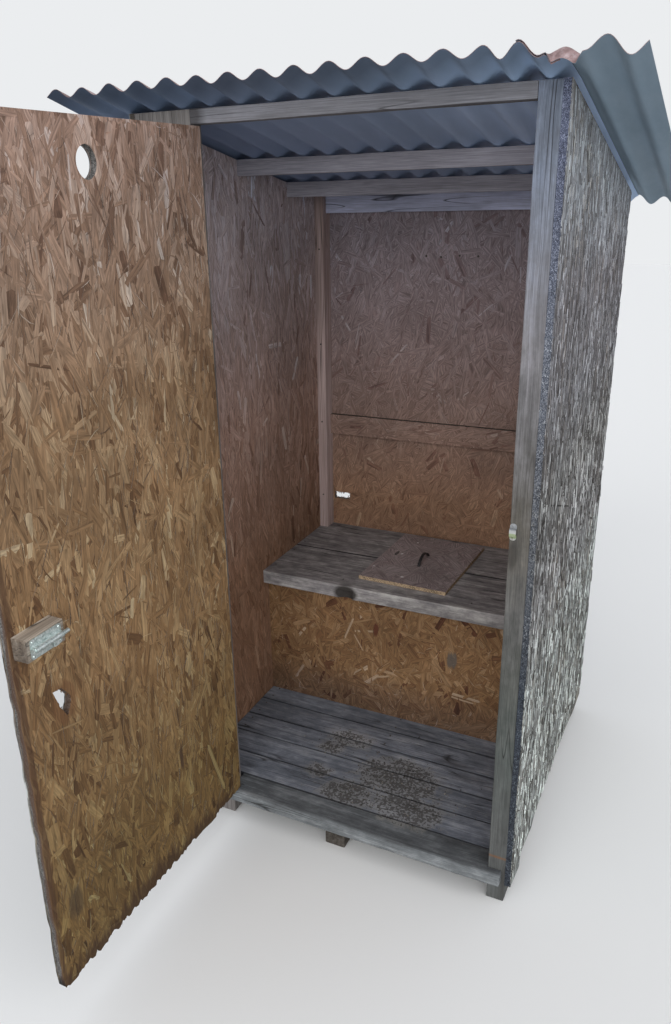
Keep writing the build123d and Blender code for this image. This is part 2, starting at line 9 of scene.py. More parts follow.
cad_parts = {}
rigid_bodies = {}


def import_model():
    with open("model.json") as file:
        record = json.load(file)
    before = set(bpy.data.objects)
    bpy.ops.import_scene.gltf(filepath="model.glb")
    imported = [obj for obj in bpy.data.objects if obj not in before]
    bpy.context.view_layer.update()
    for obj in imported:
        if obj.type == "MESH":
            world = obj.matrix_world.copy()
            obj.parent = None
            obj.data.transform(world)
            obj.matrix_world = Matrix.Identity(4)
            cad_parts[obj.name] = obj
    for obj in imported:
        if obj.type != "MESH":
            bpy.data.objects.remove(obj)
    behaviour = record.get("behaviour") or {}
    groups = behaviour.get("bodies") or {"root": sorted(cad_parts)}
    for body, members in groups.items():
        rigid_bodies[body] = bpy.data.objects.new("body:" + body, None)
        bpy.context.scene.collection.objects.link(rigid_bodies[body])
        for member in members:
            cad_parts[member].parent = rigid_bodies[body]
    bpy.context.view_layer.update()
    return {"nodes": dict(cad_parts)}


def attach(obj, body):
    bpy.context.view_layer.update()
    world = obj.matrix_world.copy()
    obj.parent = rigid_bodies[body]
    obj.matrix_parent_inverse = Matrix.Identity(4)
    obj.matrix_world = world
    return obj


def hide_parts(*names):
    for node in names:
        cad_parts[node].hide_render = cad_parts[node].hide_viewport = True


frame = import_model()
nodes = frame["nodes"]


# Wiring of materials and geometry trees

class Wires:
    """A node tree with short calls for adding and joining nodes."""

    def __init__(self, tree):
        self.tree = tree

    def feed(self, socket, value):
        if isinstance(value, bpy.types.NodeSocket):
            self.tree.links.new(value, socket)
        elif value is not None:
            socket.default_value = value

    def node(self, kind, inputs=(), **settings):
        """A new node, with its inputs given in order or as a dictionary."""
        made = self.tree.nodes.new(kind)
        for key, value in settings.items():
            setattr(made, key, value)
        for key, value in inputs.items() if isinstance(inputs, dict) else enumerate(inputs):
            self.feed(made.inputs[key], value)
        return made

    def out(self, kind, inputs=(), output=0, **settings):
        return self.node(kind, inputs, **settings).outputs[output]

    def math(self, operation, a, b=None):
        return self.out("ShaderNodeMath", (a, b), operation=operation)

    def plus(self, a, b):
        return self.math("ADD", a, b)

    def minus(self, a, b):
        return self.math("SUBTRACT", a, b)

    def times(self, a, b):
        return self.math("MULTIPLY", a, b)

    def swing(self, value, size):
        """A value round 0.5 turned into one of this size round 0."""
        return self.times(self.minus(value, 0.5), size)

    def vector(self, operation, a, b=None, scale=None, output=0):
        return self.out("ShaderNodeVectorMath", (a, b, None, scale), output, operation=operation)

    def add(self, a, b):
        return self.vector("ADD", a, b)

    def scaled(self, a, b):
        return self.vector("MULTIPLY", a, b)

    def shaded(self, colour, shade):
        return self.vector("SCALE", colour, scale=shade)

    def split(self, vector):
        return tuple(self.node("ShaderNodeSeparateXYZ", (vector,)).outputs)

    def join(self, x, y, z=0.0):
        return self.out("ShaderNodeCombineXYZ", (x, y, z))

    def span(self, value, low, high, to_low=0.0, to_high=1.0, smooth=False):
        kind = "SMOOTHSTEP" if smooth else "LINEAR"
        return self.out("ShaderNodeMapRange", (value, low, high, to_low, to_high), interpolation_type=kind)

    def vary(self, value, low, high):
        """The middle of a noise turned into a factor between low and high."""
        return self.span(value, 0.3, 0.7, low, high)

    def noise(self, vector, scale=1.0, detail=2.0, roughness=0.55, flat=False):
        inputs = (vector, None, scale, detail, roughness)
        return self.out("ShaderNodeTexNoise", inputs, noise_dimensions="2D" if flat else "3D")

    def blend(self, factor, a, b, kind="FLOAT"):
        """a where factor is 0, b where it is 1."""
        output = ("FLOAT", "VECTOR", "RGBA").index(kind)
        first = 2 * output + 2
        return self.out("ShaderNodeMix", {0: factor, first: a, first + 1: b}, output, data_type=kind)

    def between(self, factor, a, b):
        return self.blend(factor, a, b, "VECTOR")

    def mix(self, factor, a, b):
        return self.blend(factor, a, b, "RGBA")

    def ramp(self, factor, *stops):
        """A ramp of colours, each stop given as (place, red, green, blue)."""
        made = self.node("ShaderNodeValToRGB", (factor,))
        items = made.color_ramp.elements
        while len(items) < len(stops):
            items.new(0.5)
        for item, (place, *colour) in zip(items, stops):
            item.position = place
            item.color = (*colour, 1.0)
        return made.outputs[0]


class Finish(Wires):
    """A procedural material on Object coordinates."""

    def __init__(self, name, metal=0.0):
        self.material = bpy.data.materials.new(name)
        self.material.use_nodes = True
        Wires.__init__(self, self.material.node_tree)
        self.shader = self.tree.nodes["Principled BSDF"]
        self.shader.inputs["Metallic"].default_value = metal
        self.shader.inputs["Specular IOR Level"].default_value = 0.3 if metal == 0.0 else 0.5
        coordinates = self.node("ShaderNodeTexCoord").outputs
        self.place, self.facing = coordinates["Object"], coordinates["Normal"]
        self.x, self.y, self.z = self.split(self.place)

    def tone(self):
        """The tone that set_out gave each strand, nail head or crumb."""
        return self.out("ShaderNodeAttribute", output="Fac", attribute_name="tone")

    def strand_fibre(self, tone, stretch, detail, roughness):
        """Fibres along one loose strand, other ones for each tone."""
        grain = self.out("ShaderNodeAttribute", output="Vector", attribute_name="grain")
        place = self.add(self.scaled(grain, stretch), self.join(self.times(tone, 37.0), self.times(tone, 91.0)))
        return self.noise(place, 1.0, detail, roughness, flat=True)

    def stretched(self, stretch, detail=2.0, roughness=0.55, place=None):
        """A noise that changes so many times in a metre along each axis."""
        return self.noise(self.scaled(place or self.place, stretch), 1.0, detail, roughness)

    def near(self, spot, inner, outer, squeeze):
        """1 within inner of a spot, falling to 0 at outer. squeeze stretches the distance along the axes."""
        away = self.scaled(self.vector("SUBTRACT", self.place, spot), squeeze)
        return self.span(self.vector("LENGTH", away, output="Value"), inner, outer, 1.0, 0.0)

    def paint(self, colour, roughness=0.8, height=None, depth=0.001, strength=1.0, normal=None):
        self.feed(self.shader.inputs["Base Color"], colour)
        self.feed(self.shader.inputs["Roughness"], roughness)
        if height is not None:
            relief = {"Height": height, "Distance": depth, "Strength": strength, "Normal": normal}
            self.feed(self.shader.inputs["Normal"], self.out("ShaderNodeBump", relief))
        return self


def group(name, inputs, outputs):
    """An empty shader group. Place and Along are vectors, the rest numbers."""
    tree = bpy.data.node_groups.new(name, "ShaderNodeTree")
    for labels, way in ((inputs, "INPUT"), (outputs, "OUTPUT")):
        for label in labels:
            kind = "NodeSocketVector" if label in ("Place", "Along") else "NodeSocketFloat"
            tree.interface.new_socket(label, in_out=way, socket_type=kind)
    return Wires(tree), tree.nodes.new("NodeGroupInput").outputs, tree.nodes.new("NodeGroupOutput").inputs


def strand_layer_group():
    """One layer of wood strands lying at one angle: where they are, tone, height and a place along them."""
    labels = ("Mask", "Tone", "Height", "Along")
    w, given, made = group("strand layer", ("Place", "Angle", "Length", "Width", "Seed", "Cover"), labels)
    turned = w.out("ShaderNodeVectorRotate", {"Vector": given["Place"], "Angle": given["Angle"]},
                   rotation_type="Z_AXIS")
    along = w.add(turned, w.join(w.times(given["Seed"], 3.71), w.times(given["Seed"], 1.93)))
    cell_place = w.vector("DIVIDE", along, w.join(given["Length"], given["Width"], 1.0))
    cell = w.out("ShaderNodeTexVoronoi", {"Vector": cell_place, "Scale": 1.0}, "Color", voronoi_dimensions="2D")
    mask, tone, height = w.split(cell)
    for label, value in zip(labels, (w.math("LESS_THAN", mask, given["Cover"]), tone, height, along)):
        w.feed(made[label], value)
    return w.tree


def grain_group():
    """Weathered wood: flowing grain, fine fibres, drying cracks and knots. X is along the grain."""
    labels = ("Streak", "Fibre", "Crack", "Knot")
    w, given, made = group("wood grain", ("Place", "Seed"), labels)
    x, y, z = w.split(given["Place"])
    x = w.plus(x, w.times(given["Seed"], 5.3))
    y = w.plus(y, w.swing(w.noise(w.join(x, w.times(y, 3.0), w.times(z, 3.0)), 2.3, 1.0), 0.022))
    knot_place = w.join(w.times(x, 2.1), w.times(y, 7.0), w.times(z, 7.0))
    knot = w.out("ShaderNodeTexVoronoi", {"Vector": knot_place, "Scale": 1.0}, "Distance")
    knot = w.span(knot, 0.03, 0.16, 1.0, 0.0)
    q = w.join(x, w.plus(y, w.times(knot, 0.012)), z)

    def streaks(along, across, detail, roughness=0.55):
        return w.noise(w.scaled(q, (along, across, across)), 1.0, detail, roughness)

    thin_line = w.span(w.math("ABSOLUTE", w.minus(streaks(2.4, 60.0, 0.0), 0.5)), 0.0, 0.02, 1.0, 0.0)
    crack = w.times(thin_line, w.span(streaks(1.7, 12.0, 0.0), 0.48, 0.6))
    for label, value in zip(labels, (streaks(1.6, 95.0, 3.0, 0.6), streaks(9.0, 520.0, 1.0, 0.6), crack, knot)):
        w.feed(made[label], value)
    return w.tree


STRANDS = strand_layer_group()
GRAIN = grain_group()

# Layers of pressed strands, from the lowest up: degrees, length, width and share of the board covered
UPRIGHT = ((88, 0.24, 0.030, 1.1), (80, 0.16, 0.020, 0.45), (101, 0.15, 0.018, 0.40), (64, 0.11, 0.015, 0.22),
           (122, 0.10, 0.014, 0.20))
MIXED = ((74, 0.12, 0.028, 1.1), (20, 0.11, 0.020, 0.45), (-42, 0.10, 0.018, 0.40), (110, 0.10, 0.016, 0.35),
         (50, 0.09, 0.013, 0.30))
RAINED_ON = ((90, 0.17, 0.016, 1.1), (86, 0.15, 0.010, 0.5), (95, 0.16, 0.012, 0.45), (91, 0.18, 0.006, 0.4))


def pressed_strands(f, place, layers):
    """Stacks strand layers and returns tone, height and fibre."""
    fray = f.minus(f.noise(place, 46.0, 1.0, flat=True), 0.5)
    place = f.add(place, f.join(f.times(fray, 0.010), f.times(fray, -0.008)))
    for number, (angle, length, width, cover) in enumerate(layers):
        layer = f.node("ShaderNodeGroup")
        layer.node_tree = STRANDS
        for socket, value in zip(layer.inputs, (place, radians(angle), length, width, number + 1.0, cover)):
            f.feed(socket, value)
        mask, new_tone, new_height, new_along = layer.outputs
        if number == 0:
            tone, height, along = new_tone, new_height, new_along
        else:
            tone = f.blend(mask, tone, new_tone)
            height = f.blend(mask, height, f.plus(new_height, 0.12 * number))
            along = f.between(mask, along, new_along)
    return tone, height, f.noise(f.scaled(along, (12.0, 300.0, 1.0)), 1.0, 2.0, 0.65, flat=True)


class Board:
    """Colours of one kind of strand board, for the pressed surface and for the loose strands on it.

    faces is the axis that the board faces, palette the colours of its strands from the darkest. tints are stops
    over the heights from low to high. stains are (spot, inner, outer, squeeze, colour, share).
    """

    def __init__(self, name, faces, layers, spread, palette, low, high, *tints, stains=(), cut_edge=(0.07, 0.06, 0.05)):
        self.name, self.faces, self.layers, self.spread = name, faces, layers, spread
        places = (0.0, 0.3, 0.6, 0.86)[:len(palette) - 1] + (1.0,)
        self.palette = [(place, *colour) for place, colour in zip(places, palette)]
        self.low, self.high, self.tints = low, high, tints
        self.stains, self.cut_edge = stains, cut_edge

    def flat_place(self, f):
        """Flat pattern coordinates on the board."""
        return f.join(f.plus(f.x, f.z), f.y) if self.faces == "z" else f.join(f.plus(f.x, f.y), f.z)

    def pressed_colour(self, f, tone, fibre):
        return self.colour(f, f.span(tone, 0.0, 1.0, 0.5 - self.spread / 2, 0.5 + self.spread / 2), fibre)

    def colour(self, f, tone, fibre):
        shade = f.times(f.span(fibre, 0.28, 0.72, 0.55, 1.42), f.vary(f.noise(f.place, 3.4, 2.0, 0.6), 0.80, 1.14))
        colour = f.shaded(f.ramp(tone, *self.palette), shade)
        cut = f.span(f.math("ABSOLUTE", f.split(f.facing)["xyz".index(self.faces)]), 0.5, 0.6, 1.0, 0.0)
        speckle = f.span(f.noise(f.place, 420.0, 2.0), 0.36, 0.64, 0.4, 1.7)
        colour = f.scaled(colour, f.ramp(f.span(f.z, self.low, self.high), *self.tints))
        colour = f.mix(cut, colour, f.shaded(self.cut_edge, f.times(shade, speckle)))
        for *place, stain, share in self.stains:
            rough = f.plus(f.near(*place), f.swing(f.stretched((60.0, 60.0, 9.0), 3.0, 0.7), 1.5))
            colour = f.mix(f.times(f.span(rough, 0.35, 0.65), share), colour, (*stain, 1.0))
        return colour

    @cached_property
    def pressed(self):
        f = Finish(self.name)
        tone, height, fibre = pressed_strands(f, self.flat_place(f), self.layers)
        return f.paint(self.pressed_colour(f, tone, fibre), 0.82, pressed_relief(f, height, fibre), 0.0012, 0.9)

    @cached_property
    def loose(self):
        f = Finish(self.name + " loose strands")
        tone = f.tone()
        fibre = f.strand_fibre(tone, (1.3, 3.4, 0.0), 3.0, 0.7)
        return f.paint(self.colour(f, tone, fibre), 0.8, fibre, 0.0006, 0.8)


def pressed_relief(f, height, fibre):
    return f.plus(f.times(height, 0.6), f.times(fibre, 0.7))


def trodden_dirt(f, colour, dirt):
    """Dry dust and damp clods round the places given as (spot, inner, outer, squeeze)."""
    patch = 0.0
    for place in dirt:
        patch = f.math("MAXIMUM", patch, f.near(*place))
    patch = f.plus(patch, f.swing(f.noise(f.place, 34.0, 3.0, 0.7), 1.5))
    bits = f.out("ShaderNodeTexVoronoi", {"Vector": f.place, "Scale": 150.0}, "Distance")
    bulk = f.times(f.noise(f.place, 75.0, 2.0, 0.7), f.span(patch, 0.35, 0.75, 0.45, 1.15))
    clods = f.span(f.minus(bulk, f.times(bits, 0.62)), 0.15, 0.23)
    colour = f.mix(f.times(f.span(patch, 0.25, 0.55), 0.35), colour, (0.30, 0.285, 0.255, 1.0))
    return f.mix(f.times(f.times(clods, f.span(patch, 0.30, 0.42)), 0.72), colour, (0.045, 0.040, 0.036, 1.0))


def timber(name, along, seed, dark, warm, light, boards=None, spots=(), tints=(), streaks=1.0, mottle=0.0, dirt=(),
           bands=None):
    """Sawn timber gone grey. streaks and mottle say how much the grain and the blotches show.

    boards is (axis, first edge, pitch, inner width, outer width, darkness) of the lines between the boards of one
    node. spots are (spot, inner, outer, squeeze, colour, share), tints (axis, low, high, tint at high) and bands
    (axis, low, high, stops) of a tint that changes along the timber.
    """
    f = Finish(name)
    order = {"x": (f.x, f.y, f.z), "y": (f.y, f.x, f.z), "z": (f.z, f.x, f.y)}[along]
    number = seed
    if boards:
        axis, first, pitch, inner, outer, darkness = boards
        run = f.minus(getattr(f, axis), first)
        gap = f.span(f.math("PINGPONG", run, pitch / 2), inner, outer, darkness, 0.0)
        number = f.plus(f.times(f.math("FLOOR", f.math("DIVIDE", run, pitch)), 1.37), seed)
    grain = f.node("ShaderNodeGroup")
    grain.node_tree = GRAIN
    f.feed(grain.inputs["Place"], f.join(*order))
    f.feed(grain.inputs["Seed"], number)
    streak, fibre, crack, knot = grain.outputs
    shifted = f.join(f.plus(order[0], number), *order[1:])
    blotch = f.stretched((15.0, 34.0, 34.0), 5.0, 0.72, shifted)
    value = f.plus(f.swing(streak, streaks), f.swing(blotch, mottle))
    colour = f.ramp(f.plus(value, 0.5), (0.26, *dark), (0.5, *warm), (0.74, *light))
    cloud = f.stretched((2.0, 14.0, 14.0), place=f.join(*order))
    colour = f.shaded(colour, f.times(f.vary(fibre, 0.78, 1.22), f.vary(cloud, 0.74, 1.2)))
    for *place, stain, share in spots:
        rough = f.plus(f.near(*place), f.swing(streak, 0.7))
        colour = f.mix(f.times(f.span(rough, 0.2, 0.8), share), colour, (*stain, 1.0))
    for axis, low, high, tint in tints:
        value = f.plus(getattr(f, axis), f.swing(streak, 0.35 * (high - low)))
        colour = f.scaled(colour, f.between(f.span(value, low, high), (1.0, 1.0, 1.0), tint))
    if bands:
        axis, low, high, *stops = bands
        colour = f.scaled(colour, f.ramp(f.plus(f.span(getattr(f, axis), low, high), f.swing(blotch, 0.2)), *stops))
    if dirt:
        colour = trodden_dirt(f, colour, dirt)
    if boards:
        colour = f.mix(gap, colour, (0.012, 0.011, 0.012, 1.0))
    colour = f.mix(f.times(knot, 0.55), colour, (dark[0] * 0.6, dark[1] * 0.5, dark[2] * 0.45, 1.0))
    colour = f.mix(f.times(crack, 0.85), colour, (0.012, 0.011, 0.01, 1.0))
    height = f.minus(f.plus(f.times(streak, 0.7), f.times(fibre, 0.35)), f.times(crack, 1.2))
    return f.paint(colour, 0.85, height, 0.0012, 0.8)


# Making of meshes

def geometry_tree(name, **inputs):
    """An empty geometry tree with a mesh input and the named inputs of the given kinds."""
    tree = bpy.data.node_groups.new(name, "GeometryNodeTree")
    tree.is_modifier = True
    for label, kind in (("Geometry", "Geometry"), *inputs.items()):
        tree.interface.new_socket(label, in_out="INPUT", socket_type="NodeSocket" + kind)
    tree.interface.new_socket("Geometry", in_out="OUTPUT", socket_type="NodeSocketGeometry")
    return Wires(tree), tree.nodes.new("NodeGroupInput").outputs, tree.nodes.new("NodeGroupOutput").inputs


def added(name, data):
    """A new object in the scene."""
    item = bpy.data.objects.new(name, data)
    bpy.context.collection.objects.link(item)
    return item


def made_plain(carrier):
    """The mesh that an object comes out as. The object itself goes."""
    mesh = bpy.data.meshes.new_from_object(carrier.evaluated_get(bpy.context.evaluated_depsgraph_get()))
    bpy.data.objects.remove(carrier)
    return mesh


def shaped(mesh, tree, **values):
    """The plain mesh that a geometry tree makes of a mesh, with its named inputs set."""
    carrier = added("carrier", mesh)
    modifier = carrier.modifiers.new("shape", "NODES")
    modifier.node_group = tree
    for item in tree.interface.items_tree:
        if item.in_out == "INPUT" and item.name in values:
            modifier[item.identifier] = values[item.name]
    return made_plain(carrier)


def put(name, mesh, body, slot, *replaced):
    """Adds a finished mesh as a piece of the object."""
    piece = added(name, mesh)
    mesh.name = name
    if replaced:
        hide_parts(*replaced)
    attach(piece, body)


def shape_set(name, forms):
    """A set of small shapes for set_out, which keep their own places as their grain."""
    made = bpy.data.collections.new(name)
    for number, bm in enumerate(forms):
        bmesh.ops.recalc_face_normals(bm, faces=bm.faces)
        mesh = bpy.data.meshes.new(name)
        bm.to_mesh(mesh)
        bm.free()
        grain = mesh.attributes.new("grain", "FLOAT_VECTOR", "POINT")
        grain.data.foreach_set("vector", [c for v in mesh.vertices for c in v.co])
        made.objects.link(bpy.data.objects.new("%s_%d" % (name, number), mesh))
    return made


def prism(outline):
    """A closed flat flake whose top is at height 0, in unit length and unit width."""
    bm = bmesh.new()
    top = [bm.verts.new((x, y, 0.0)) for x, y in outline]
    foot = [bm.verts.new((x * 0.98, y * 0.94, -1.0)) for x, y in outline]
    bm.faces.new(top)
    bm.faces.new(foot[::-1])
    for number in range(len(outline)):
        after = (number + 1) % len(outline)
        bm.faces.new((top[number], foot[number], foot[after], top[after]))
    return bm


def flake_outlines(number, seed):
    """Split flakes with straight long sides and ragged ends, anticlockwise."""
    pick = random.Random(seed).uniform
    for _ in range(number):
        left, right = pick(-0.3, 0.3), pick(-0.3, 0.3)
        yield [(-0.5, left), (-0.47 + pick(0, 0.05), -0.5 + pick(0, 0.1)), (pick(-0.1, 0.1), -0.5),
               (0.42 + pick(0, 0.05), -0.46 + pick(0, 0.1)), (0.5, right),
               (0.40 + pick(0, 0.08), 0.40 + pick(0, 0.1)), (pick(-0.1, 0.1), 0.5),
               (-0.44 + pick(0, 0.06), 0.42 + pick(0, 0.08))]


def splinter_outlines(number, seed):
    """Narrow splinters that bend to one side, anticlockwise."""
    pick = random.Random(seed).uniform
    for _ in range(number):
        bend = pick(-2.4, 2.4)
        yield [(-0.5, pick(-0.2, 0.2)), (-0.22, bend - 0.45), (0.2, bend - 0.4), (0.5, pick(-0.2, 0.2)),
               (0.24, bend + 0.4), (-0.18, bend + 0.5)]


def lump(seed):
    """A crumb of dirt, about as long as it is wide."""
    dice = random.Random(seed)
    bm = bmesh.new()
    bmesh.ops.create_icosphere(bm, subdivisions=1, radius=0.5)
    for v in bm.verts:
        v.co *= dice.uniform(0.65, 1.15)
    return bm


def turned(*profile, sides=14):
    """A round head turned about Z from (radius, height) points, closed at the top and the foot."""
    bm = bmesh.new()
    rings = []
    for radius, height in profile:
        ring = [(radius * cos(2 * pi * n / sides), radius * sin(2 * pi * n / sides), height) for n in range(sides)]
        rings.append([bm.verts.new(point) for point in (ring if radius else [(0.0, 0.0, height)])])
    for low, high in zip(rings, rings[1:]):
        for n in range(sides):
            m = (n + 1) % sides
            corners = [low[n % len(low)], low[m % len(low)], high[m % len(high)], high[n % len(high)]]
            bm.faces.new(list(dict.fromkeys(corners)))
    return bm


def cut_board(thickness, outline, *holes):
    """A flat board of any outline with holes cut through, its face at height 0."""
    curve = bpy.data.curves.new("outline", "CURVE")
    curve.dimensions = "2D"
    curve.fill_mode = "BOTH"
    curve.extrude = thickness / 2
    for loop in (outline,) + holes:
        spline = curve.splines.new("POLY")
        spline.points.add(len(loop) - 1)
        for point, (x, y) in zip(spline.points, loop):
            point.co = (x, y, 0.0, 1.0)
        spline.use_cyclic_u = True
    mesh = made_plain(added("carrier", curve))
    bm = bmesh.new()
    bm.from_mesh(mesh)
    bmesh.ops.remove_doubles(bm, verts=bm.verts, dist=1e-6)
    bmesh.ops.recalc_face_normals(bm, faces=bm.faces)
    bmesh.ops.translate(bm, verts=bm.verts, vec=(0.0, 0.0, -thickness / 2))
    bm.to_mesh(mesh)
    bm.free()
    return mesh


def set_out_tree():
    """Sets out shapes on marked places: each place has a turn, a size and a tone."""
    w, given, made = geometry_tree("set out", Shapes="Collection", Thickness="Float", Material="Material")
    shapes = w.out("GeometryNodeCollectionInfo", {
        "Collection": given["Shapes"], "Separate Children": True, "Reset Children": True})
    turn, size = (w.out("GeometryNodeInputNamedAttribute", {"Name": name}, data_type="FLOAT_VECTOR")
                  for name in ("turn", "size"))
    laid = w.out("GeometryNodeInstanceOnPoints", {
        "Points": given["Geometry"], "Instance": shapes, "Pick Instance": True,
        "Rotation": w.out("FunctionNodeEulerToRotation", (turn,)),
        "Scale": w.scaled(size, w.join(1.0, 1.0, given["Thickness"]))})
    real = w.out("GeometryNodeRealizeInstances", {"Geometry": laid})
    finish = {"Geometry": real, "Material": given["Material"]}
    w.feed(made["Geometry"], w.out("GeometryNodeSetMaterial", finish))
    return w.tree


SET_OUT = set_out_tree()
FLAKES = shape_set("flake", map(prism, flake_outlines(7, 11)))
SPLINTERS = shape_set("splinter", map(prism, splinter_outlines(8, 12)))
LUMPS = shape_set("lump", map(lump, range(30, 35)))
NAIL = shape_set("nail", [turned((0.0, -0.5), (0.42, -0.5), (0.5, 0.0), (0.46, 0.16), (0.28, 0.26), (0.0, 0.3))])
SCREW = shape_set("screw", [turned((0.0, -0.6), (0.5, -0.6), (0.5, 0.05), (0.44, 0.2), (0.26, 0.3), (0.12, 0.3),
                                   (0.08, 0.12), (0.0, 0.1))])

# Directions across and up a face, by the side that the face looks to
FACES = {"right": ((0, 1, 0), (0, 0, 1)), "left": ((0, -1, 0), (0, 0, 1)), "front": ((1, 0, 0), (0, 0, 1)),
         "back": ((-1, 0, 0), (0, 0, 1)), "up": ((1, 0, 0), (0, 1, 0))}


def face(side, x, y, z):
    """Turns a flat plan in metres into its place on a face. x, y, z of the plan's corner are in millimetres."""
    across, up = map(Vector, FACES[side])
    turn = Matrix((across, up, across.cross(up))).transposed().to_4x4()
    return Matrix.Translation(Vector((x, y, z)) / 1000) @ turn


def set_out(name, body, slot, place, rows, shapes, finish, thickness=1.0):
    """Adds one piece made of shapes at rows of (centre, turn, size, tone) in the plan of a face."""
    mesh = bpy.data.meshes.new(name + "_places")
    mesh.from_pydata([row[0] for row in rows], [], [])
    for key, column in (("turn", 1), ("size", 2)):
        layer = mesh.attributes.new(key, "FLOAT_VECTOR", "POINT")
        layer.data.foreach_set("vector", [c for row in rows for c in row[column]])
    mesh.attributes.new("tone", "FLOAT", "POINT").data.foreach_set("value", [row[3] for row in rows])
    made = shaped(mesh, SET_OUT, Shapes=shapes, Thickness=thickness, Material=finish.material)
    for key in ("turn", "size"):
        if key in made.attributes:
            made.attributes.remove(made.attributes[key])
    made.transform(place)
    put(name, made, body, slot)


def strand_rows(width, height, number, seed, lean=90, spread=20, loose=0.12, long=(0.05, 0.12), wide=(0.007, 0.022),
                lift=0.0006, tilt=0.005, holes=(), top=None, foot=0.0, tones=(0.5, 0.12), light=0.03, dark=0.06,
                bow=0.5):
    """Seeded places of strands on a board of this width and height in metres. holes are (across, up, radius).

    lean and spread are the strands' angle and its spread in degrees, and loose is the share at any angle. light and
    dark are the shares of very light and very dark strands. bow is how many of its widths a strand reaches aside.
    """
    dice = random.Random(seed)
    rows = []
    for _ in range(number * 6):
        if len(rows) == number:
            break
        across, up = dice.uniform(0, width), dice.uniform(foot, height)
        angle = radians(dice.gauss(lean, spread)) if dice.random() > loose else dice.uniform(0, pi)
        length, breadth = dice.uniform(*long), wide[0] + (wide[1] - wide[0]) * dice.random() ** 1.5
        rise, pitch, roll = dice.uniform(0.1, 1.0) * lift, dice.gauss(0, tilt), dice.gauss(0, 0.02)
        luck, tone = dice.random(), min(max(dice.gauss(*tones), 0.12), 0.84)
        if luck < light:
            tone = dice.uniform(0.86, 1.0)
        elif luck < light + dark:
            tone = dice.uniform(0.0, 0.15)
        along = (cos(angle) * length / 2, sin(angle) * length / 2)
        reach = (abs(along[0]) + breadth * bow, abs(along[1]) + breadth * bow * 0.6)
        ceiling = height if top is None else min(height, top(across - reach[0]), top(across + reach[0]))
        if 2 * reach[0] > width or 2 * reach[1] > ceiling - foot:
            continue
        across = min(max(across, reach[0]), width - reach[0])
        up = min(max(up, foot + reach[1]), ceiling - reach[1])
        if not any(hypot(across + along[0] * step - hole_across, up + along[1] * step - hole_up) < radius + breadth / 2
                   for hole_across, hole_up, radius in holes for step in (-1.0, -0.66, -0.33, 0.0, 0.33, 0.66, 1.0)):
            rows.append(((across, up, rise), (roll, pitch, angle), (length, breadth, 1.0), tone))
    return rows


def worn(seed, node, along, slot, finish, over, step, wave, body="house"):
    """A timber with edges worn by over and a surface uneven by wave, cut every step, in place of its CAD node."""
    bm = bmesh.new()
    bm.from_mesh(nodes[node].data)
    bmesh.ops.remove_doubles(bm, verts=bm.verts, dist=1e-5)
    bmesh.ops.dissolve_limit(bm, angle_limit=radians(1), verts=bm.verts, edges=bm.edges)
    sharp = [e for e in bm.edges if len(e.link_faces) == 2 and e.calc_face_angle(0.0) > radians(40)]
    bmesh.ops.bevel(bm, geom=sharp, offset=over, segments=2, profile=0.6, affect="EDGES", clamp_overlap=True)
    axis = "xyz".index(along)
    low, high = min(v.co[axis] for v in bm.verts), max(v.co[axis] for v in bm.verts)
    normal = Vector([float(n == axis) for n in range(3)])
    cuts = max(int((high - low) / step), 1)
    for number in range(1, cuts):
        bmesh.ops.bisect_plane(bm, geom=bm.verts[:] + bm.edges[:] + bm.faces[:], dist=1e-6,
                               plane_co=normal * (low + (high - low) * number / cuts), plane_no=normal)
    for v in bm.verts:
        rough = Vector([v.co[n] * (7.0 if n == axis else 16.0) for n in range(3)]) + Vector((seed * 3.1, 0.0, seed))
        push = noise.noise_vector(rough)
        push[axis] = 0.0
        v.co += push * wave + noise.noise_vector(rough * 5.0) * wave * 0.4
        v.co.z = max(v.co.z, 0.0)
    mesh = bpy.data.meshes.new(node)
    bm.to_mesh(mesh)
    bm.free()
    mesh.materials.append(finish.material)
    put("worn_" + node, mesh, body, slot, node)


# Colours of the boards and timbers

ROOF_FALL = radians(11.3)
# Painted shade and light: the tints over the height darken and yellow the board towards the foot and make it lighter
# and bluer at the top.
door_board = Board(
    "door board", "x", UPRIGHT, 0.9,
    ((0.12, 0.064, 0.036), (0.215, 0.128, 0.073), (0.285, 0.18, 0.11), (0.37, 0.26, 0.17), (0.46, 0.37, 0.28)),
    0.3, 1.9, (0.0, 0.545, 0.52, 0.305), (0.125, 0.64, 0.61, 0.415), (0.31, 0.83, 0.78, 0.60),
    (0.47, 0.86, 0.825, 0.67), (0.66, 0.90, 0.885, 0.80), (0.81, 1.02, 1.07, 1.22), (1.0, 1.04, 1.09, 1.4),
    cut_edge=(0.105, 0.10, 0.095),
    stains=(((-0.3035, -0.93, 0.085), 0.02, 0.11, (1.0, 0.15, 1.0), (0.05, 0.026, 0.012), 0.9),
            ((-0.3035, -1.275, 0.75), 0.006, 0.022, (1.0, 1.0, 0.02), (0.07, 0.034, 0.018), 0.75),
            ((-0.3035, -0.785, 0.40), 0.003, 0.012, (1.0, 1.0, 0.20), (0.05, 0.028, 0.016), 0.85),
            ((-0.3035, -1.158, 0.787), 0.030, 0.056, (1.0, 1.2, 0.9), (0.12, 0.052, 0.022), 0.5),
            ((-0.3035, -1.21, 0.30), 0.01, 0.05, (1.0, 1.4, 0.7), (0.055, 0.035, 0.02), 0.7)))
# Painted shade and light: the tints over the height darken and warm the board low down and make it lighter and much
# bluer towards the top, the hazy light under the roof.
wall_board = Board(
    "wall board", "x", UPRIGHT, 0.5,
    ((0.18, 0.095, 0.06), (0.27, 0.158, 0.103), (0.345, 0.213, 0.148), (0.42, 0.285, 0.205), (0.50, 0.38, 0.29)),
    0.6, 1.7, (0.0, 0.71, 0.635, 0.56), (0.45, 1.08, 1.14, 1.32), (1.0, 1.42, 2.0, 3.0))
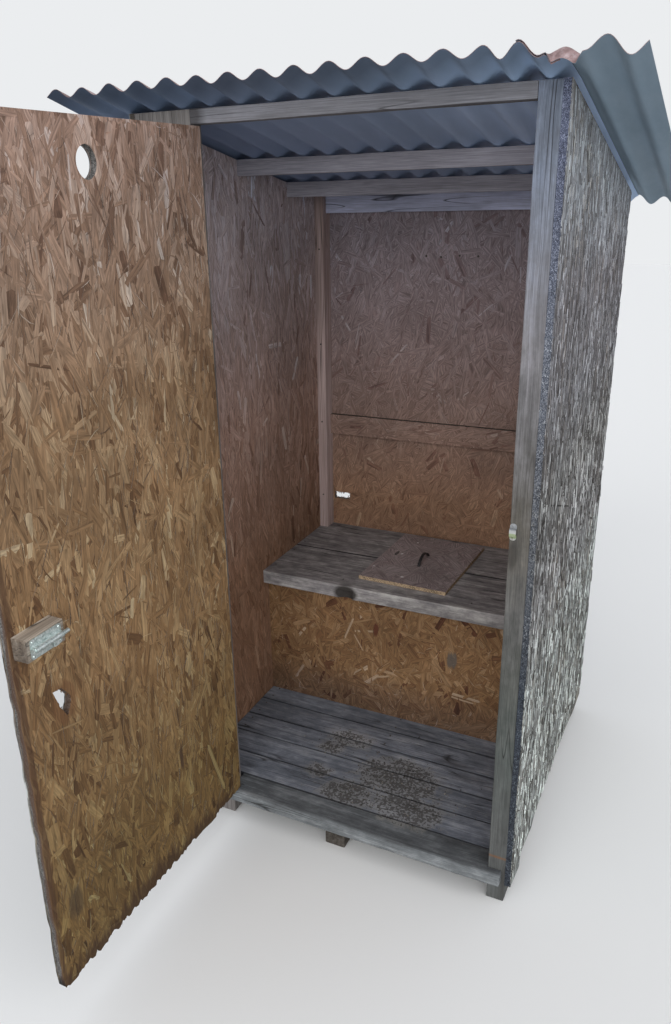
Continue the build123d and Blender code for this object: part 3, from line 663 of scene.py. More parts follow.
# Painted light: the tints over the height make the back board lighter and much bluer towards the top.
back_board = Board(
    "back board", "y", MIXED, 0.5,
    ((0.16, 0.085, 0.058), (0.20, 0.12, 0.082), (0.235, 0.145, 0.10), (0.275, 0.18, 0.128), (0.35, 0.25, 0.18)),
    0.7, 1.65, (0.0, 1.13, 1.05, 0.93), (1.0, 1.25, 1.73, 2.75))
# Painted shade: the tints over the height make the panel darker and bluer in its lowest part by the floor.
bench_board = Board(
    "bench board", "y", MIXED, 0.6,
    ((0.09, 0.034, 0.016), (0.165, 0.084, 0.036), (0.225, 0.124, 0.055), (0.30, 0.185, 0.095), (0.40, 0.29, 0.19)),
    0.1, 0.5, (0.0, 0.58, 0.61, 0.79), (0.16, 0.69, 0.72, 0.90), (0.26, 0.86, 0.89, 1.03), (0.36, 1.05, 1.07, 1.12),
    stains=(((0.167, 0.024, 0.363), 0.010, 0.040, (1.6, 1.0, 0.8), (0.085, 0.085, 0.08), 0.75),
            ((-0.092, 0.024, 0.415), 0.004, 0.016, (1.2, 1.0, 0.45), (0.085, 0.022, 0.012), 0.8)))
lid_board = Board(
    "lid board", "z", MIXED, 0.4, ((0.20, 0.15, 0.14), (0.245, 0.19, 0.18), (0.285, 0.23, 0.215), (0.34, 0.285, 0.265)),
    0.3, 0.7, (0.0, 1.08, 1.10, 1.14), (1.0, 1.08, 1.10, 1.14), cut_edge=(0.34, 0.25, 0.16),
    stains=(((-0.1155, 0.279, 0.5833), 0.003, 0.0085, (1.0, 0.27, 1.0), (0.05, 0.042, 0.038), 0.85),))

# Trodden dirt on the floor boards as (spot, inner, outer, squeeze)
FLOOR_START, FLOOR_PITCH, FLOOR_TOP = -0.443, 0.097, 0.1
DECK_DIRT = [((x, y, FLOOR_TOP), inner, outer, (squeeze, 1.0, 1.0)) for x, y, inner, outer, squeeze in (
    (-0.105, -0.15, 0.015, 0.065, 0.6), (0.11, -0.27, 0.05, 0.125, 0.7), (-0.01, -0.40, 0.03, 0.085, 0.7),
    (0.17, -0.39, 0.03, 0.10, 0.6), (-0.145, -0.21, 0.01, 0.055, 0.8), (-0.13, -0.335, 0.005, 0.05, 0.7))]

floor_timber = timber(
    "floor timber", "x", 1.0, (0.092, 0.102, 0.122), (0.175, 0.19, 0.225), (0.31, 0.325, 0.355), streaks=0.55,
    mottle=1.0, dirt=DECK_DIRT, boards=("y", FLOOR_START, FLOOR_PITCH, 0.002, 0.0045, 0.8),
    spots=(((-0.112, -0.137, 0.1), 0.01, 0.12, (0.8, 2.4, 1.0), (0.42, 0.43, 0.47), 0.6),
           ((-0.42, -0.085, 0.1), 0.03, 0.13, (0.6, 1.5, 1.0), (0.055, 0.06, 0.07), 0.35)))
# Painted highlight: the tint makes the lower front edge of the nose board lighter.
nose_timber = timber(
    "nose timber", "x", 7.0, (0.049, 0.051, 0.055), (0.093, 0.100, 0.107), (0.178, 0.187, 0.197), streaks=0.45,
    mottle=0.9, dirt=DECK_DIRT[3:4], tints=(("y", -0.512, -0.532, (1.75, 1.75, 1.7)),))
# Painted light: the tint makes the front face of the bench planks lighter.
bench_timber = timber(
    "bench timber", "x", 3.0, (0.12, 0.11, 0.115), (0.24, 0.222, 0.22), (0.43, 0.41, 0.39), streaks=0.6, mottle=1.1,
    boards=("y", -0.261, 0.500, 0.003, 0.0055, 0.9), tints=(("y", 0.004, -0.009, (1.12, 1.13, 1.12)),),
    spots=(((-0.182, -0.008, 0.544), 0.022, 0.042, (0.8, 1.0, 1.2), (0.032, 0.027, 0.024), 0.95),
           ((-0.31, 0.058, 0.571), 0.0005, 0.0045, (0.03, 1.0, 0.1), (0.035, 0.032, 0.03), 0.85)))
# The bands are partly the post's weathering and partly painted light: they make its upper half about twice as light and
# bluer.
post_timber = timber(
    "post timber", "z", 2.0, (0.060, 0.059, 0.056), (0.092, 0.091, 0.086), (0.137, 0.135, 0.130), streaks=0.45,
    mottle=0.8, spots=(((0.450, -0.506, 0.985), 0.008, 0.03, (1.6, 1.0, 0.5), (0.03, 0.028, 0.026), 0.75),
                       ((0.463, -0.506, 0.139), 0.0, 0.022, (0.35, 1.0, 3.0), (0.16, 0.07, 0.03), 0.7)),
    bands=("z", 0.2, 1.9, (0.0, 1.1, 1.15, 1.18), (0.15, 0.77, 0.87, 0.86), (0.27, 0.80, 0.84, 0.81),
           (0.38, 1.08, 1.08, 1.1), (0.50, 1.36, 1.27, 1.16), (0.62, 1.85, 1.82, 1.95), (0.74, 2.32, 2.28, 2.55),
           (0.86, 1.89, 2.03, 2.52), (0.97, 1.77, 2.08, 2.8)))
plank_timber = timber("plank timber", "z", 5.0, (0.095, 0.086, 0.08), (0.155, 0.142, 0.135), (0.225, 0.21, 0.20))
# Painted shade: the dark spot at the left end of the header stands in for the shaded gap by the plank.
header_timber = timber(
    "header timber", "x", 4.0, (0.128, 0.126, 0.132), (0.19, 0.19, 0.208), (0.257, 0.26, 0.29), streaks=0.3,
    mottle=0.4, spots=(((-0.33, -0.506, 1.93), 0.01, 0.05, (1.0, 1.0, 1.0), (0.05, 0.045, 0.045), 0.8),))
# Painted light: the tint makes the timbers at the back, past y 0.44, lighter and bluer.
purlin_timber = timber("purlin timber", "x", 4.6, (0.24, 0.225, 0.25), (0.32, 0.31, 0.35), (0.40, 0.385, 0.43),
                       streaks=0.3, mottle=0.4, tints=(("y", 0.44, 0.457, (1.45, 1.58, 1.82)),))
batten_timber = timber("batten timber", "z", 6.0, (0.29, 0.21, 0.19), (0.40, 0.305, 0.285), (0.51, 0.405, 0.385))
skid_timber = timber("skid timber", "y", 8.0, (0.03, 0.026, 0.022), (0.07, 0.06, 0.05), (0.12, 0.11, 0.10))
block_timber = timber(
    "block timber", "y", 9.0, (0.12, 0.095, 0.075), (0.25, 0.21, 0.17), (0.38, 0.34, 0.29),
    tints=(("z", 0.984, 0.993, (1.35, 1.33, 1.3)), ("y", -1.2685, -1.271, (0.55, 0.52, 0.5))))


# Boards left to the rain

OUTER_TONES = ((0.0, 0.05, 0.05, 0.05), (0.3, 0.13, 0.13, 0.128), (0.6, 0.215, 0.215, 0.21), (1.0, 0.36, 0.36, 0.345))
EDGE_TONES = ((0.36, 0.014, 0.016, 0.022), (0.50, 0.064, 0.072, 0.095), (0.66, 0.25, 0.26, 0.29))
# How much lighter or darker the right wall, and its front edge, are made along their height. The wall's lighter, bluer
# top near the roof is painted light.
DOWN_THE_WALL = ((0.0, 1.20, 1.28, 1.25), (0.235, 1.16, 1.24, 1.23), (0.38, 0.93, 0.94, 0.96),
                 (0.53, 0.80, 0.81, 0.81), (0.65, 0.84, 0.85, 0.91), (0.79, 0.92, 0.92, 1.0), (0.94, 1.35, 1.48, 1.62))
DOWN_THE_EDGE = ((0.0, 0.40, 0.44, 0.47), (0.25, 0.39, 0.44, 0.48), (0.50, 1.12, 1.11, 1.04), (0.74, 1.40, 1.43, 1.46),
                 (0.94, 1.15, 1.22, 1.5))
# Cracks in the right wall: start and end as (Y, Z), and width
WALL_SLITS = (
    ((-0.285, 1.825), (-0.247, 1.757), 0.008), ((0.03, 1.748), (0.072, 1.688), 0.007),
    ((-0.386, 1.0714), (-0.1186, 0.9795), 0.0026), ((-0.288, 1.0726), (-0.277, 1.046), 0.009),
    ((0.2766, 0.8064), (0.3939, 0.7649), 0.003), ((-0.152, 0.806), (-0.110, 0.760), 0.008),
    ((0.161, 0.661), (0.100, 0.651), 0.004), ((-0.053, 0.56), (-0.060, 0.50), 0.009))


def slit(f, start, end, width):
    """1 on a thin crack between two places (Y, Z) on the right wall."""
    (y0, z0), (y1, z1) = start, end
    length = hypot(y1 - y0, z1 - z0)
    dy, dz = (y1 - y0) / length, (z1 - z0) / length
    y, z = f.minus(f.y, y0), f.minus(f.z, z0)
    along = f.plus(f.times(y, dy), f.times(z, dz))
    aside = f.math("ABSOLUTE", f.minus(f.times(y, dz), f.times(z, dy)))
    inside = f.times(f.math("GREATER_THAN", along, 0.0), f.math("LESS_THAN", along, length))
    return f.times(inside, f.span(aside, width * 0.5, width, 1.0, 0.0))


def weathered_threads(f, place):
    """Fine wavy threads up a board left to the rain: how light each is, and where dark clefts open."""
    across, up, _ = f.split(place)

    def lines(across, many, long, detail, roughness=0.55):
        return f.noise(f.join(f.times(across, many), f.times(up, long)), 1.0, detail, roughness, flat=True)

    sway, quiver = f.swing(lines(across, 11.0, 15.0, 1.0), 0.030), f.swing(lines(across, 90.0, 42.0, 1.0), 0.0075)
    across = f.plus(across, f.plus(sway, quiver))
    return lines(across, 430.0, 15.0, 3.0, 0.72), f.span(lines(across, 95.0, 7.0, 3.0, 0.7), 0.37, 0.31)


# A tint over the height; with DOWN_THE_WALL its lighter, bluer top is painted light.
def height_tint(f, stops):
    return f.ramp(f.span(f.z, 0.2, 1.9), *stops)


def outer_wall_finish(name, board, inner_face, outer_face, slits=(), dark_edge=False):
    """Board with brown strands on its room side and grey threads on the side left to the rain."""
    f = Finish(name)
    place = board.flat_place(f)
    tone, inside_height, inside_fibre = pressed_strands(f, f.add(place, (1.1, 0.4, 0.0)), board.layers[:4])
    inner = board.pressed_colour(f, tone, inside_fibre)
    tone, height, _ = pressed_strands(f, place, RAINED_ON)
    fibre, cleft = weathered_threads(f, place)
    for ends in slits:
        cleft = f.math("MAXIMUM", cleft, slit(f, *ends))
    threads = f.ramp(fibre, (0.33, 0.46, 0.42, 0.39), (0.46, 0.85, 0.81, 0.77), (0.56, 1.22, 1.21, 1.19),
                     (0.68, 1.95, 1.97, 1.97))
    weather = f.between(f.span(f.stretched((5.0, 5.0, 3.0), 3.0, 0.6), 0.38, 0.62), (0.86, 0.79, 0.74),
                        (1.16, 1.19, 1.24))
    outer = f.scaled(f.scaled(f.ramp(tone, *OUTER_TONES), threads), weather)
    outer = f.scaled(outer, height_tint(f, DOWN_THE_WALL))
    outer = f.mix(f.times(cleft, 0.92), outer, (0.014, 0.012, 0.011, 1.0))
    outside = f.span(getattr(f, board.faces), inner_face, outer_face)
    colour = f.mix(outside, inner, outer)
    if dark_edge:
        edge = f.times(f.span(f.y, -0.5045, -0.5055), f.span(f.x, 0.5012, 0.4998))
        front = f.scaled(f.ramp(f.noise(f.place, 950.0, 1.0), *EDGE_TONES), height_tint(f, DOWN_THE_EDGE))
        colour = f.mix(edge, colour, front)
    relief = f.minus(f.plus(f.times(height, 0.5), f.times(fibre, 2.4)), f.times(cleft, 2.0))
    height = f.blend(outside, pressed_relief(f, inside_height, inside_fibre), relief)
    return f.paint(colour, 0.88, height, 0.0012, 1.0)


def frayed_finish(name, down, *tones):
    """Grey strands that have come loose on weathered board."""
    f = Finish(name)
    tone = f.tone()
    fibre = f.strand_fibre(tone, (1.6, 2.2, 0.0), 1.0, 0.6)
    cloud = f.times(f.vary(f.noise(f.place, 2.6, 2.0, 0.6), 0.78, 1.2),
                    f.vary(f.stretched((20.0, 34.0, 13.0), 3.0, 0.7), 0.62, 1.4))
    tone = f.plus(f.swing(tone, f.span(f.z, 1.75, 0.9, 0.55, 1.1)), 0.5)
    colour = f.scaled(f.ramp(tone, *tones), height_tint(f, down))
    return f.paint(f.shaded(colour, f.times(cloud, f.span(fibre, 0.25, 0.75, 0.75, 1.2))), 0.85)


right_wall_board = outer_wall_finish("right wall board", wall_board, 0.4985, 0.5005, WALL_SLITS, True)
left_wall_board = outer_wall_finish("left wall board", wall_board, -0.4985, -0.5005)
back_wall_board = outer_wall_finish("back wall board", back_board, 0.5025, 0.5045)
door_panel_board = outer_wall_finish("door panel board", door_board, -0.3215, -0.3235)
# The frayed strands share the wall's tint over the height, with its painted light near the top.
frayed_board = frayed_finish("frayed strands", DOWN_THE_WALL, (0.0, 0.055, 0.049, 0.045), (0.4, 0.18, 0.17, 0.165),
                             (0.7, 0.31, 0.31, 0.31), (1.0, 0.72, 0.72, 0.71))
edge_fray = frayed_finish("frayed wall edge", DOWN_THE_EDGE, (0.0, 0.018, 0.020, 0.026), (0.5, 0.085, 0.092, 0.112),
                          (1.0, 0.38, 0.39, 0.41))


# Roof paint and metal

def roof_finish(name, under_dark, under_light, seed, inside, *across):
    """Thin corrugated sheet: worn red paint on top, dark matt underside that shows little of its waves.

    inside is a tint of painted light that lightens the underside under the roof behind the header, and across are the
    tints from the left end to the right one.
    """
    f = Finish(name)
    place = f.add(f.place, (seed, seed, 0.0))
    wear = f.stretched((13.0, 2.2, 13.0), 5.0, 0.75, place)
    paint = f.ramp(wear, (0.36, 0.13, 0.075, 0.07), (0.52, 0.28, 0.19, 0.19), (0.66, 0.44, 0.36, 0.37))
    streak = f.stretched((55.0, 1.8, 55.0), 4.0, 0.7, place)
    paint = f.shaded(paint, f.times(f.vary(f.noise(place, 70.0, 3.0, 0.7), 0.78, 1.2), f.vary(streak, 0.7, 1.2)))
    dirt = f.ramp(f.stretched((14.0, 2.2, 14.0), 4.0, 0.6, place), (0.3, *under_dark), (0.7, *under_light))
    # Painted light: behind the header the underside is lightened by the inside tint.
    depth = f.between(f.span(f.y, -0.50, -0.40), (1.0, 1.0, 1.0), inside)
    under = f.scaled(dirt, f.scaled(f.ramp(f.span(f.x, -0.6, 0.4), *across), depth))
    # Painted light: a band of the underside by the header is lightened up to 1.75 times, where the crests' hollows lie
    # in shade.
    front = f.times(f.span(f.y, -0.58, -0.515), f.span(f.y, -0.45, -0.49))
    under = f.shaded(under, f.plus(f.times(front, f.span(f.x, 0.50, 0.46, 0.0, 0.75)), 1.0))
    below = f.span(f.split(f.facing)[2], 0.02, -0.02)
    down = f.out("ShaderNodeVectorTransform", ((0.0, -sin(ROOF_FALL), -cos(ROOF_FALL)),), vector_type="NORMAL",
                 convert_from="OBJECT", convert_to="WORLD")
    level = f.between(f.times(below, 0.85), f.out("ShaderNodeNewGeometry", output="Normal"), down)
    return f.paint(f.mix(below, paint, under), f.vary(wear, 0.5, 0.75), wear, 0.0006, 0.5, f.vector("NORMALIZE", level))


def metal(name, dark, light, roughness, metallic, scale=160.0):
    """Small metal parts, dulled and spotted."""
    f = Finish(name, metallic)
    spots = f.noise(f.place, scale, 3.0, 0.65)
    return f.paint(f.ramp(spots, (0.35, *dark), (0.65, *light)), f.vary(spots, roughness, roughness + 0.2), spots,
                   0.0003, 0.5)


def plain_tones(name, *stops):
    f = Finish(name)
    tone = f.plus(f.tone(), f.swing(f.noise(f.place, 500.0, 1.0), 0.4))
    return f.paint(f.ramp(tone, *stops), 0.85)


def keeper_finish():
    """A small plate with bands of old paint, bare grey metal above."""
    f = Finish("keeper paint", 0.15)
    height = f.span(f.plus(f.z, f.swing(f.noise(f.place, 260.0, 2.0, 0.7), 0.004)), 1.022, 1.062)
    bands = f.ramp(height, (0.10, 0.36, 0.36, 0.34), (0.16, 0.22, 0.27, 0.15), (0.42, 0.27, 0.32, 0.19),
                   (0.48, 0.42, 0.43, 0.42), (0.62, 0.38, 0.39, 0.39), (0.68, 0.20, 0.21, 0.22),
                   (1.0, 0.30, 0.31, 0.32))
    return f.paint(bands, 0.5, f.noise(f.place, 160.0, 3.0, 0.65), 0.0003, 0.5)


PLAIN = (1.0, 1.0, 1.0)
# The left sheet's inside tint, 2.3 times, is painted light on the underside under the roof.
roof_left_paint = roof_finish(
    "roof paint left", (0.24, 0.31, 0.42), (0.29, 0.365, 0.49), 0.0, (2.3, 2.2, 2.2), (0.0, 0.33, 0.37, 0.44),
    (0.4, 0.50, 0.52, 0.57), (0.7, 0.55, 0.59, 0.635), (1.0, 0.95, 1.03, 1.09))
roof_right_paint = roof_finish("roof paint right", (0.255, 0.355, 0.45), (0.33, 0.44, 0.545), 5.0, PLAIN,
                               (0.0, *PLAIN), (1.0, *PLAIN))
zinc = metal("zinc", (0.46, 0.55, 0.53), (0.80, 0.85, 0.84), 0.26, 0.85, 220.0)
hinge_steel = metal("hinge steel", (0.20, 0.18, 0.16), (0.50, 0.49, 0.46), 0.42, 0.8)
dark_strap = metal("dark strap", (0.012, 0.011, 0.012), (0.04, 0.036, 0.036), 0.45, 0.3)
nail_steel = metal("nail steel", (0.04, 0.035, 0.032), (0.13, 0.115, 0.10), 0.6, 0.4, 400.0)
keeper_paint = keeper_finish()
crumb_dirt = plain_tones("crumb dirt", (0.0, 0.02, 0.018, 0.015), (0.5, 0.07, 0.06, 0.05), (1.0, 0.25, 0.23, 0.20))
speck_paint = plain_tones("speck paint", (0.0, 0.45, 0.43, 0.42), (1.0, 0.75, 0.73, 0.71))

# CAD nodes that keep their own shape and take a finish
for finish, names in (
        (left_wall_board, "left_wall"), (right_wall_board, "right_wall"),
        (back_wall_board, "back_wall_lower back_wall_upper back_wall_top"), (back_board.pressed, "back_belt_strip"),
        (bench_board.pressed, "bench_front_panel"), (lid_board.pressed, "seat_lid"), (skid_timber, "bench_cleats"),
        (dark_strap, "lid_handle"), (zinc, "bolt_plate bolt_rod"),
        (hinge_steel, "door_hinge_leaves frame_hinge_leaves"), (keeper_paint, "bolt_keeper")):
    for node in names.split():
        slots = nodes[node].data.materials
        slots.clear()
        slots.append(finish.material)


# Timbers: node, grain, slot, finish, width of the worn edges, step of the cuts, unevenness and body

for seed, row in enumerate((
        ("base_skids", "y", "dark_timber", skid_timber, 0.003, 0.06, 0.0015),
        ("front_floor_board", "x", "grey_timber", nose_timber, 0.0025, 0.03, 0.0012),
        ("floor_boards", "x", "grey_timber", floor_timber, 0.003, 0.05, 0.0012),
        ("right_front_post", "z", "grey_timber", post_timber, 0.003, 0.04, 0.0010),
        ("left_front_plank", "z", "tan_timber", plank_timber, 0.0025, 0.05, 0.0010),
        ("header", "x", "tan_timber", header_timber, 0.002, 0.04, 0.0010),
        ("middle_purlin", "x", "tan_timber", purlin_timber, 0.003, 0.04, 0.0012),
        ("rear_purlin", "x", "tan_timber", purlin_timber, 0.003, 0.04, 0.0012),
        ("back_top_rail", "x", "tan_timber", purlin_timber, 0.002, 0.05, 0.0010),
        ("left_corner_batten", "z", "tan_timber", batten_timber, 0.002, 0.05, 0.0010),
        ("right_corner_batten", "z", "tan_timber", batten_timber, 0.002, 0.05, 0.0010),
        ("bench_front_plank", "x", "grey_timber", bench_timber, 0.003, 0.02, 0.0014),
        ("bench_rear_plank", "x", "grey_timber", bench_timber, 0.0025, 0.04, 0.0012),
        ("bolt_block", "y", "tan_timber", block_timber, 0.0018, 0.02, 0.0008, "door")), 1):
    worn(seed, *row)


# Roof sheets

SHEET_PITCH, FIRST_CREST, DEEP_WAVE, SHEET_THICKNESS = 0.0756, -0.6185, 0.0265, 0.0009
SHEET_FRONT, SHEET_BACK, ROW_STEP = -0.6155, 0.7335, 0.09
WALL_TOP, WALL_FRONT, WALL_FOOT = 1.942, 0.506, 0.07


def wavy_sheet_tree():
    """A thin corrugated sheet over its flat plan, sagging past the right wall, with a bent lip at the front."""
    w, given, made = geometry_tree("wavy sheet", Wave="Float", Flare="Float", Lift="Float", Sag="Float",
                                   Material="Material")
    x, y, _ = w.split(w.out("GeometryNodeInputPosition"))

    def eased(low, high):
        return w.span(x, low, high, smooth=True)

    pushed = w.plus(x, w.times(eased(0.34, 0.45), 0.017))
    turn = w.times(w.minus(pushed, FIRST_CREST), 2 * pi / SHEET_PITCH)
    flattened = w.times(w.times(eased(0.465, 0.490), eased(0.550, 0.520)), w.span(y, -0.40, -0.60))
    deep = eased(0.33, 0.42)
    depth = w.times(w.blend(deep, given["Wave"], DEEP_WAVE), 0.5)
    wave = w.times(w.plus(w.math("COSINE", turn), 1.0), w.times(depth, w.span(flattened, 0.0, 1.0, 1.0, 0.62)))
    flare = w.times(w.times(w.span(y, -0.49, -0.616), given["Flare"]), w.minus(1.0, deep))
    rise = w.math("DIVIDE", w.plus(wave, given["Lift"]), cos(ROOF_FALL))
    plane = w.minus(WALL_TOP, w.times(w.plus(y, WALL_FRONT), tan(ROOF_FALL)))
    sag = w.times(eased(0.515, 0.645), given["Sag"])
    torn = w.times(eased(0.470, 0.484), eased(0.536, 0.522))
    lip = w.times(w.times(w.math("POWER", w.span(y, -0.588, -0.616), 1.4), torn), 0.026)
    rough = w.swing(w.noise(w.join(w.times(x, 9.0), w.times(y, 4.0)), 1.0, 1.0), 0.004)
    dent = w.times(rough, w.plus(w.span(y, -0.45, -0.616), 0.35))
    height = w.plus(w.minus(w.plus(w.plus(plane, rise), flare), w.plus(lip, sag)), dent)
    placed = w.out("GeometryNodeSetPosition", {"Geometry": given["Geometry"], "Position": w.join(x, y, height)})
    grown = w.out("GeometryNodeExtrudeMesh", {
        "Mesh": placed, "Offset": w.out("GeometryNodeInputNormal"), "Offset Scale": SHEET_THICKNESS,
        "Individual": False})
    both = w.node("GeometryNodeJoinGeometry", (grown,))
    w.feed(both.inputs[0], w.out("GeometryNodeFlipFaces", {"Mesh": placed}))
    closed = w.out("GeometryNodeMergeByDistance", {"Geometry": both.outputs[0], "Distance": 0.00002})
    finish = {"Geometry": closed, "Material": given["Material"]}
    w.feed(made["Geometry"], w.out("GeometryNodeSetMaterial", finish))
    return w.tree


def flat_plan(left, right):
    """The plan of a sheet, in narrow rows at the lip and broad ones behind."""
    across = int(round((right - left) / (SHEET_PITCH / 16)))
    rows_y = [SHEET_FRONT + 0.004 * n for n in range(9)]
    while rows_y[-1] + ROW_STEP < SHEET_BACK:
        rows_y.append(rows_y[-1] + ROW_STEP)
    rows_y.append(SHEET_BACK)
    points = [(left + (right - left) * n / across, y, 0.0) for y in rows_y for n in range(across + 1)]
    corners = (0, 1, across + 2, across + 1)
    faces = [[row * (across + 1) + n + corner for corner in corners]
             for row in range(len(rows_y) - 1) for n in range(across)]
    mesh = bpy.data.meshes.new("plan")
    mesh.from_pydata(points, [], faces)
    return mesh


WAVY_SHEET = wavy_sheet_tree()
for node, left, right, lift, sag, wave, flare, finish in (
        ("roof_sheet_left", -0.6452, 0.498, 0.0013, 0.0, 0.018, 0.0085, roof_left_paint),
        ("roof_sheet_right", 0.420, 0.639, 0.0046, 0.016, DEEP_WAVE, 0.0, roof_right_paint)):
    sheet = shaped(flat_plan(left, right), WAVY_SHEET, Wave=wave, Flare=flare, Lift=lift, Sag=sag,
                   Material=finish.material)
    for polygon in sheet.polygons:
        polygon.use_smooth = True
    sheet.set_sharp_from_angle(angle=radians(50))
    put("thin_" + node, sheet, "house", "painted_sheet", node)


# The door's panel

DOOR_SIZE = (0.763, 1.798)
VENT, BREAK = (0.369, 1.717), (0.118, 0.681)
DOOR_HOLES = ((*VENT, 0.0335), (*BREAK, 0.047))
door_in, door_out = face("right", -303.5, -1277.5, 106), face("left", -325.5, -514.5, 106)


def rotten_door_outline(width, height, seed):
    """The door's outline in metres from the foot of its free edge, with a rotten foot and a chipped free edge."""
    dice = random.Random(seed)
    foot, along = [], 0.004
    while along < width - 0.004:
        rot = 0.020 - 0.014 * along / width
        foot.append((along, rot * dice.random() ** 1.6))
        along += dice.uniform(0.003, 0.011)
    chipped = [(dice.choice((0.0, 0.0, 0.001, 0.0035)), height - 0.02 - n * 0.031) for n in range(57)]
    return [(0.003, 0.006)] + foot + [(width, 0.004), (width, height), (0.0, height)] + chipped


def broken_rim(corners, seed):
    """A rim through corners set from the middle of the broken hole, with ragged places on each side."""
    pick = random.Random(seed).uniform
    corners = [(BREAK[0] - a, BREAK[1] + b) for a, b in corners]
    return [(x0 + (x1 - x0) * share + pick(-0.0012, 0.0012), y0 + (y1 - y0) * share + pick(-0.0012, 0.0012))
            for (x0, y0), (x1, y1) in zip(corners, corners[1:] + corners[:1]) for share in (0.0, 0.3, 0.62)]


VENT_RADIUS = 0.0317
vent_rim = [(VENT[0] + VENT_RADIUS * cos(2 * pi * n / 48), VENT[1] + VENT_RADIUS * sin(2 * pi * n / 48))
            for n in range(48)]
break_rim = broken_rim(
    ((0.003, 0.036), (0.027, 0.037), (0.013, -0.005), (-0.007, -0.044), (-0.020, -0.017), (-0.025, 0.0)), 25)
panel = cut_board(0.022, rotten_door_outline(*DOOR_SIZE, 24), vent_rim, break_rim)
panel.transform(door_in)
panel.materials.append(door_panel_board.material)
put("rotten_door_panel", panel, "door", "door_board", "door_panel")


# Strands standing proud of the boards

DOOR, HOUSE = ("door", "door_board"), ("house", "strand_board")
STRAND = 0.0012
ROOF_SLOPE = tan(ROOF_FALL)
WALL, BACK, BENCH = (1.012, 1.87), (0.972, 1.66), (0.972, 0.426)
FRAYED = dict(foot=0.012, tones=(0.46, 0.22), dark=0.20)
back_in, bench_face = face("front", -486, 490, 100), face("front", -486, 24, 100)


def strands(name, part, place, finish, shapes, thickness, size, *plan, **more):
    set_out(name, *part, place, strand_rows(*size, *plan, **more), shapes, finish, thickness)


strands("door_strands_inside", DOOR, door_in, door_board.loose, FLAKES, STRAND, DOOR_SIZE, 2300, 21, 91, 17,
        long=(0.04, 0.14), wide=(0.004, 0.024), holes=DOOR_HOLES, foot=0.004, tones=(0.5, 0.17))
strands("door_broad_flakes_inside", DOOR, door_in, door_board.loose, FLAKES, STRAND, DOOR_SIZE, 420, 29, 88, 32, 0.25,
        (0.035, 0.11), (0.016, 0.034), holes=DOOR_HOLES, tones=(0.52, 0.22), light=0.04, dark=0.10)
strands("door_splinters_inside", DOOR, door_in, door_board.loose, SPLINTERS, STRAND, DOOR_SIZE, 1500, 22, 86, 24, 0.12,
        (0.02, 0.08), (0.001, 0.003), 0.0010, 0.008, DOOR_HOLES, tones=(0.55, 0.2), light=0.22, dark=0.4, bow=3.4)
strands("door_frayed_strands_outside", DOOR, door_out, frayed_board, SPLINTERS, 0.0014, DOOR_SIZE, 2600, 23, 90, 14,
        0.06, (0.012, 0.08), (0.0009, 0.0034), 0.0018, 0.010, [(DOOR_SIZE[0] - a, b, r) for a, b, r in DOOR_HOLES],
        foot=0.02, tones=(0.46, 0.2), light=0.12, dark=0.20, bow=3.4)
strands("left_wall_strands_inside", HOUSE, face("right", -486, -460, 100), wall_board.loose, FLAKES, STRAND,
        (0.95, 1.835), 1500, 31, 90, 16, 0.10, top=lambda a: 1.832 - 0.0092 - a * ROOF_SLOPE)
strands("left_wall_frayed_strands", HOUSE, face("left", -502, 506, 70), frayed_board, SPLINTERS, 0.0016, WALL, 4200, 32,
        90, 12, 0.04, (0.012, 0.085), (0.0009, 0.0036), 0.0020, 0.012, top=lambda a: 1.665 + a * ROOF_SLOPE, light=0.16,
        bow=3.4, **FRAYED)
strands("right_wall_strands_inside", HOUSE, face("left", 486, 490, 100), wall_board.loose, FLAKES, STRAND,
        (0.95, 1.835), 900, 33, 90, 16, 0.10, top=lambda a: 1.6422 + a * ROOF_SLOPE)
strands("back_strands_inside", HOUSE, back_in, back_board.loose, FLAKES, STRAND, (0.972, 1.64), 1900, 34, 80, 34, 0.25,
        (0.04, 0.11), (0.004, 0.02), holes=((0.070, 0.586, 0.034),), light=0.02)
strands("back_frayed_strands", HOUSE, face("back", 486, 506, 70), frayed_board, SPLINTERS, 0.0016, BACK, 3800, 35,
        90, 14, 0.06, (0.012, 0.085), (0.0009, 0.0036), 0.0020, 0.012, ((0.902, 0.616, 0.034),), light=0.16, bow=3.4,
        **FRAYED)
strands("belt_strands", HOUSE, face("front", -453, 474, 930), back_board.loose, FLAKES, STRAND, (0.906, 0.071), 90, 36,
        12, 14, 0.05, (0.04, 0.10), (0.006, 0.016))
strands("bench_strands", HOUSE, bench_face, bench_board.loose, FLAKES, STRAND, BENCH, 520, 37, 70, 45, 0.35,
        (0.04, 0.11), (0.008, 0.024))
strands("bench_splinters", HOUSE, bench_face, bench_board.loose, SPLINTERS, STRAND, BENCH, 240, 38, 40, 50, 0.5,
        (0.015, 0.05), (0.001, 0.0026), 0.0010, 0.01, tones=(0.7, 0.2), light=0.6, dark=0.15)
slit_places = []
for (y0, z0), (y1, z1), width in WALL_SLITS:
    steps = max(int(hypot(y1 - y0, z1 - z0) / 0.006), 1)
    slit_places += [(y0 + (y1 - y0) * n / steps + WALL_FRONT, z0 + (z1 - z0) * n / steps - WALL_FOOT,
                     width * 0.5 + 0.001) for n in range(steps + 1)]
strands("right_wall_frayed_strands", HOUSE, face("right", 502, -506, 70), frayed_board, SPLINTERS, 0.0016, WALL, 8600,
        41, 90, 12, 0.04, (0.009, 0.065), (0.0007, 0.0028), 0.0022, 0.014, slit_places,
        top=lambda a: 1.868 - a * ROOF_SLOPE, light=0.17, **FRAYED)
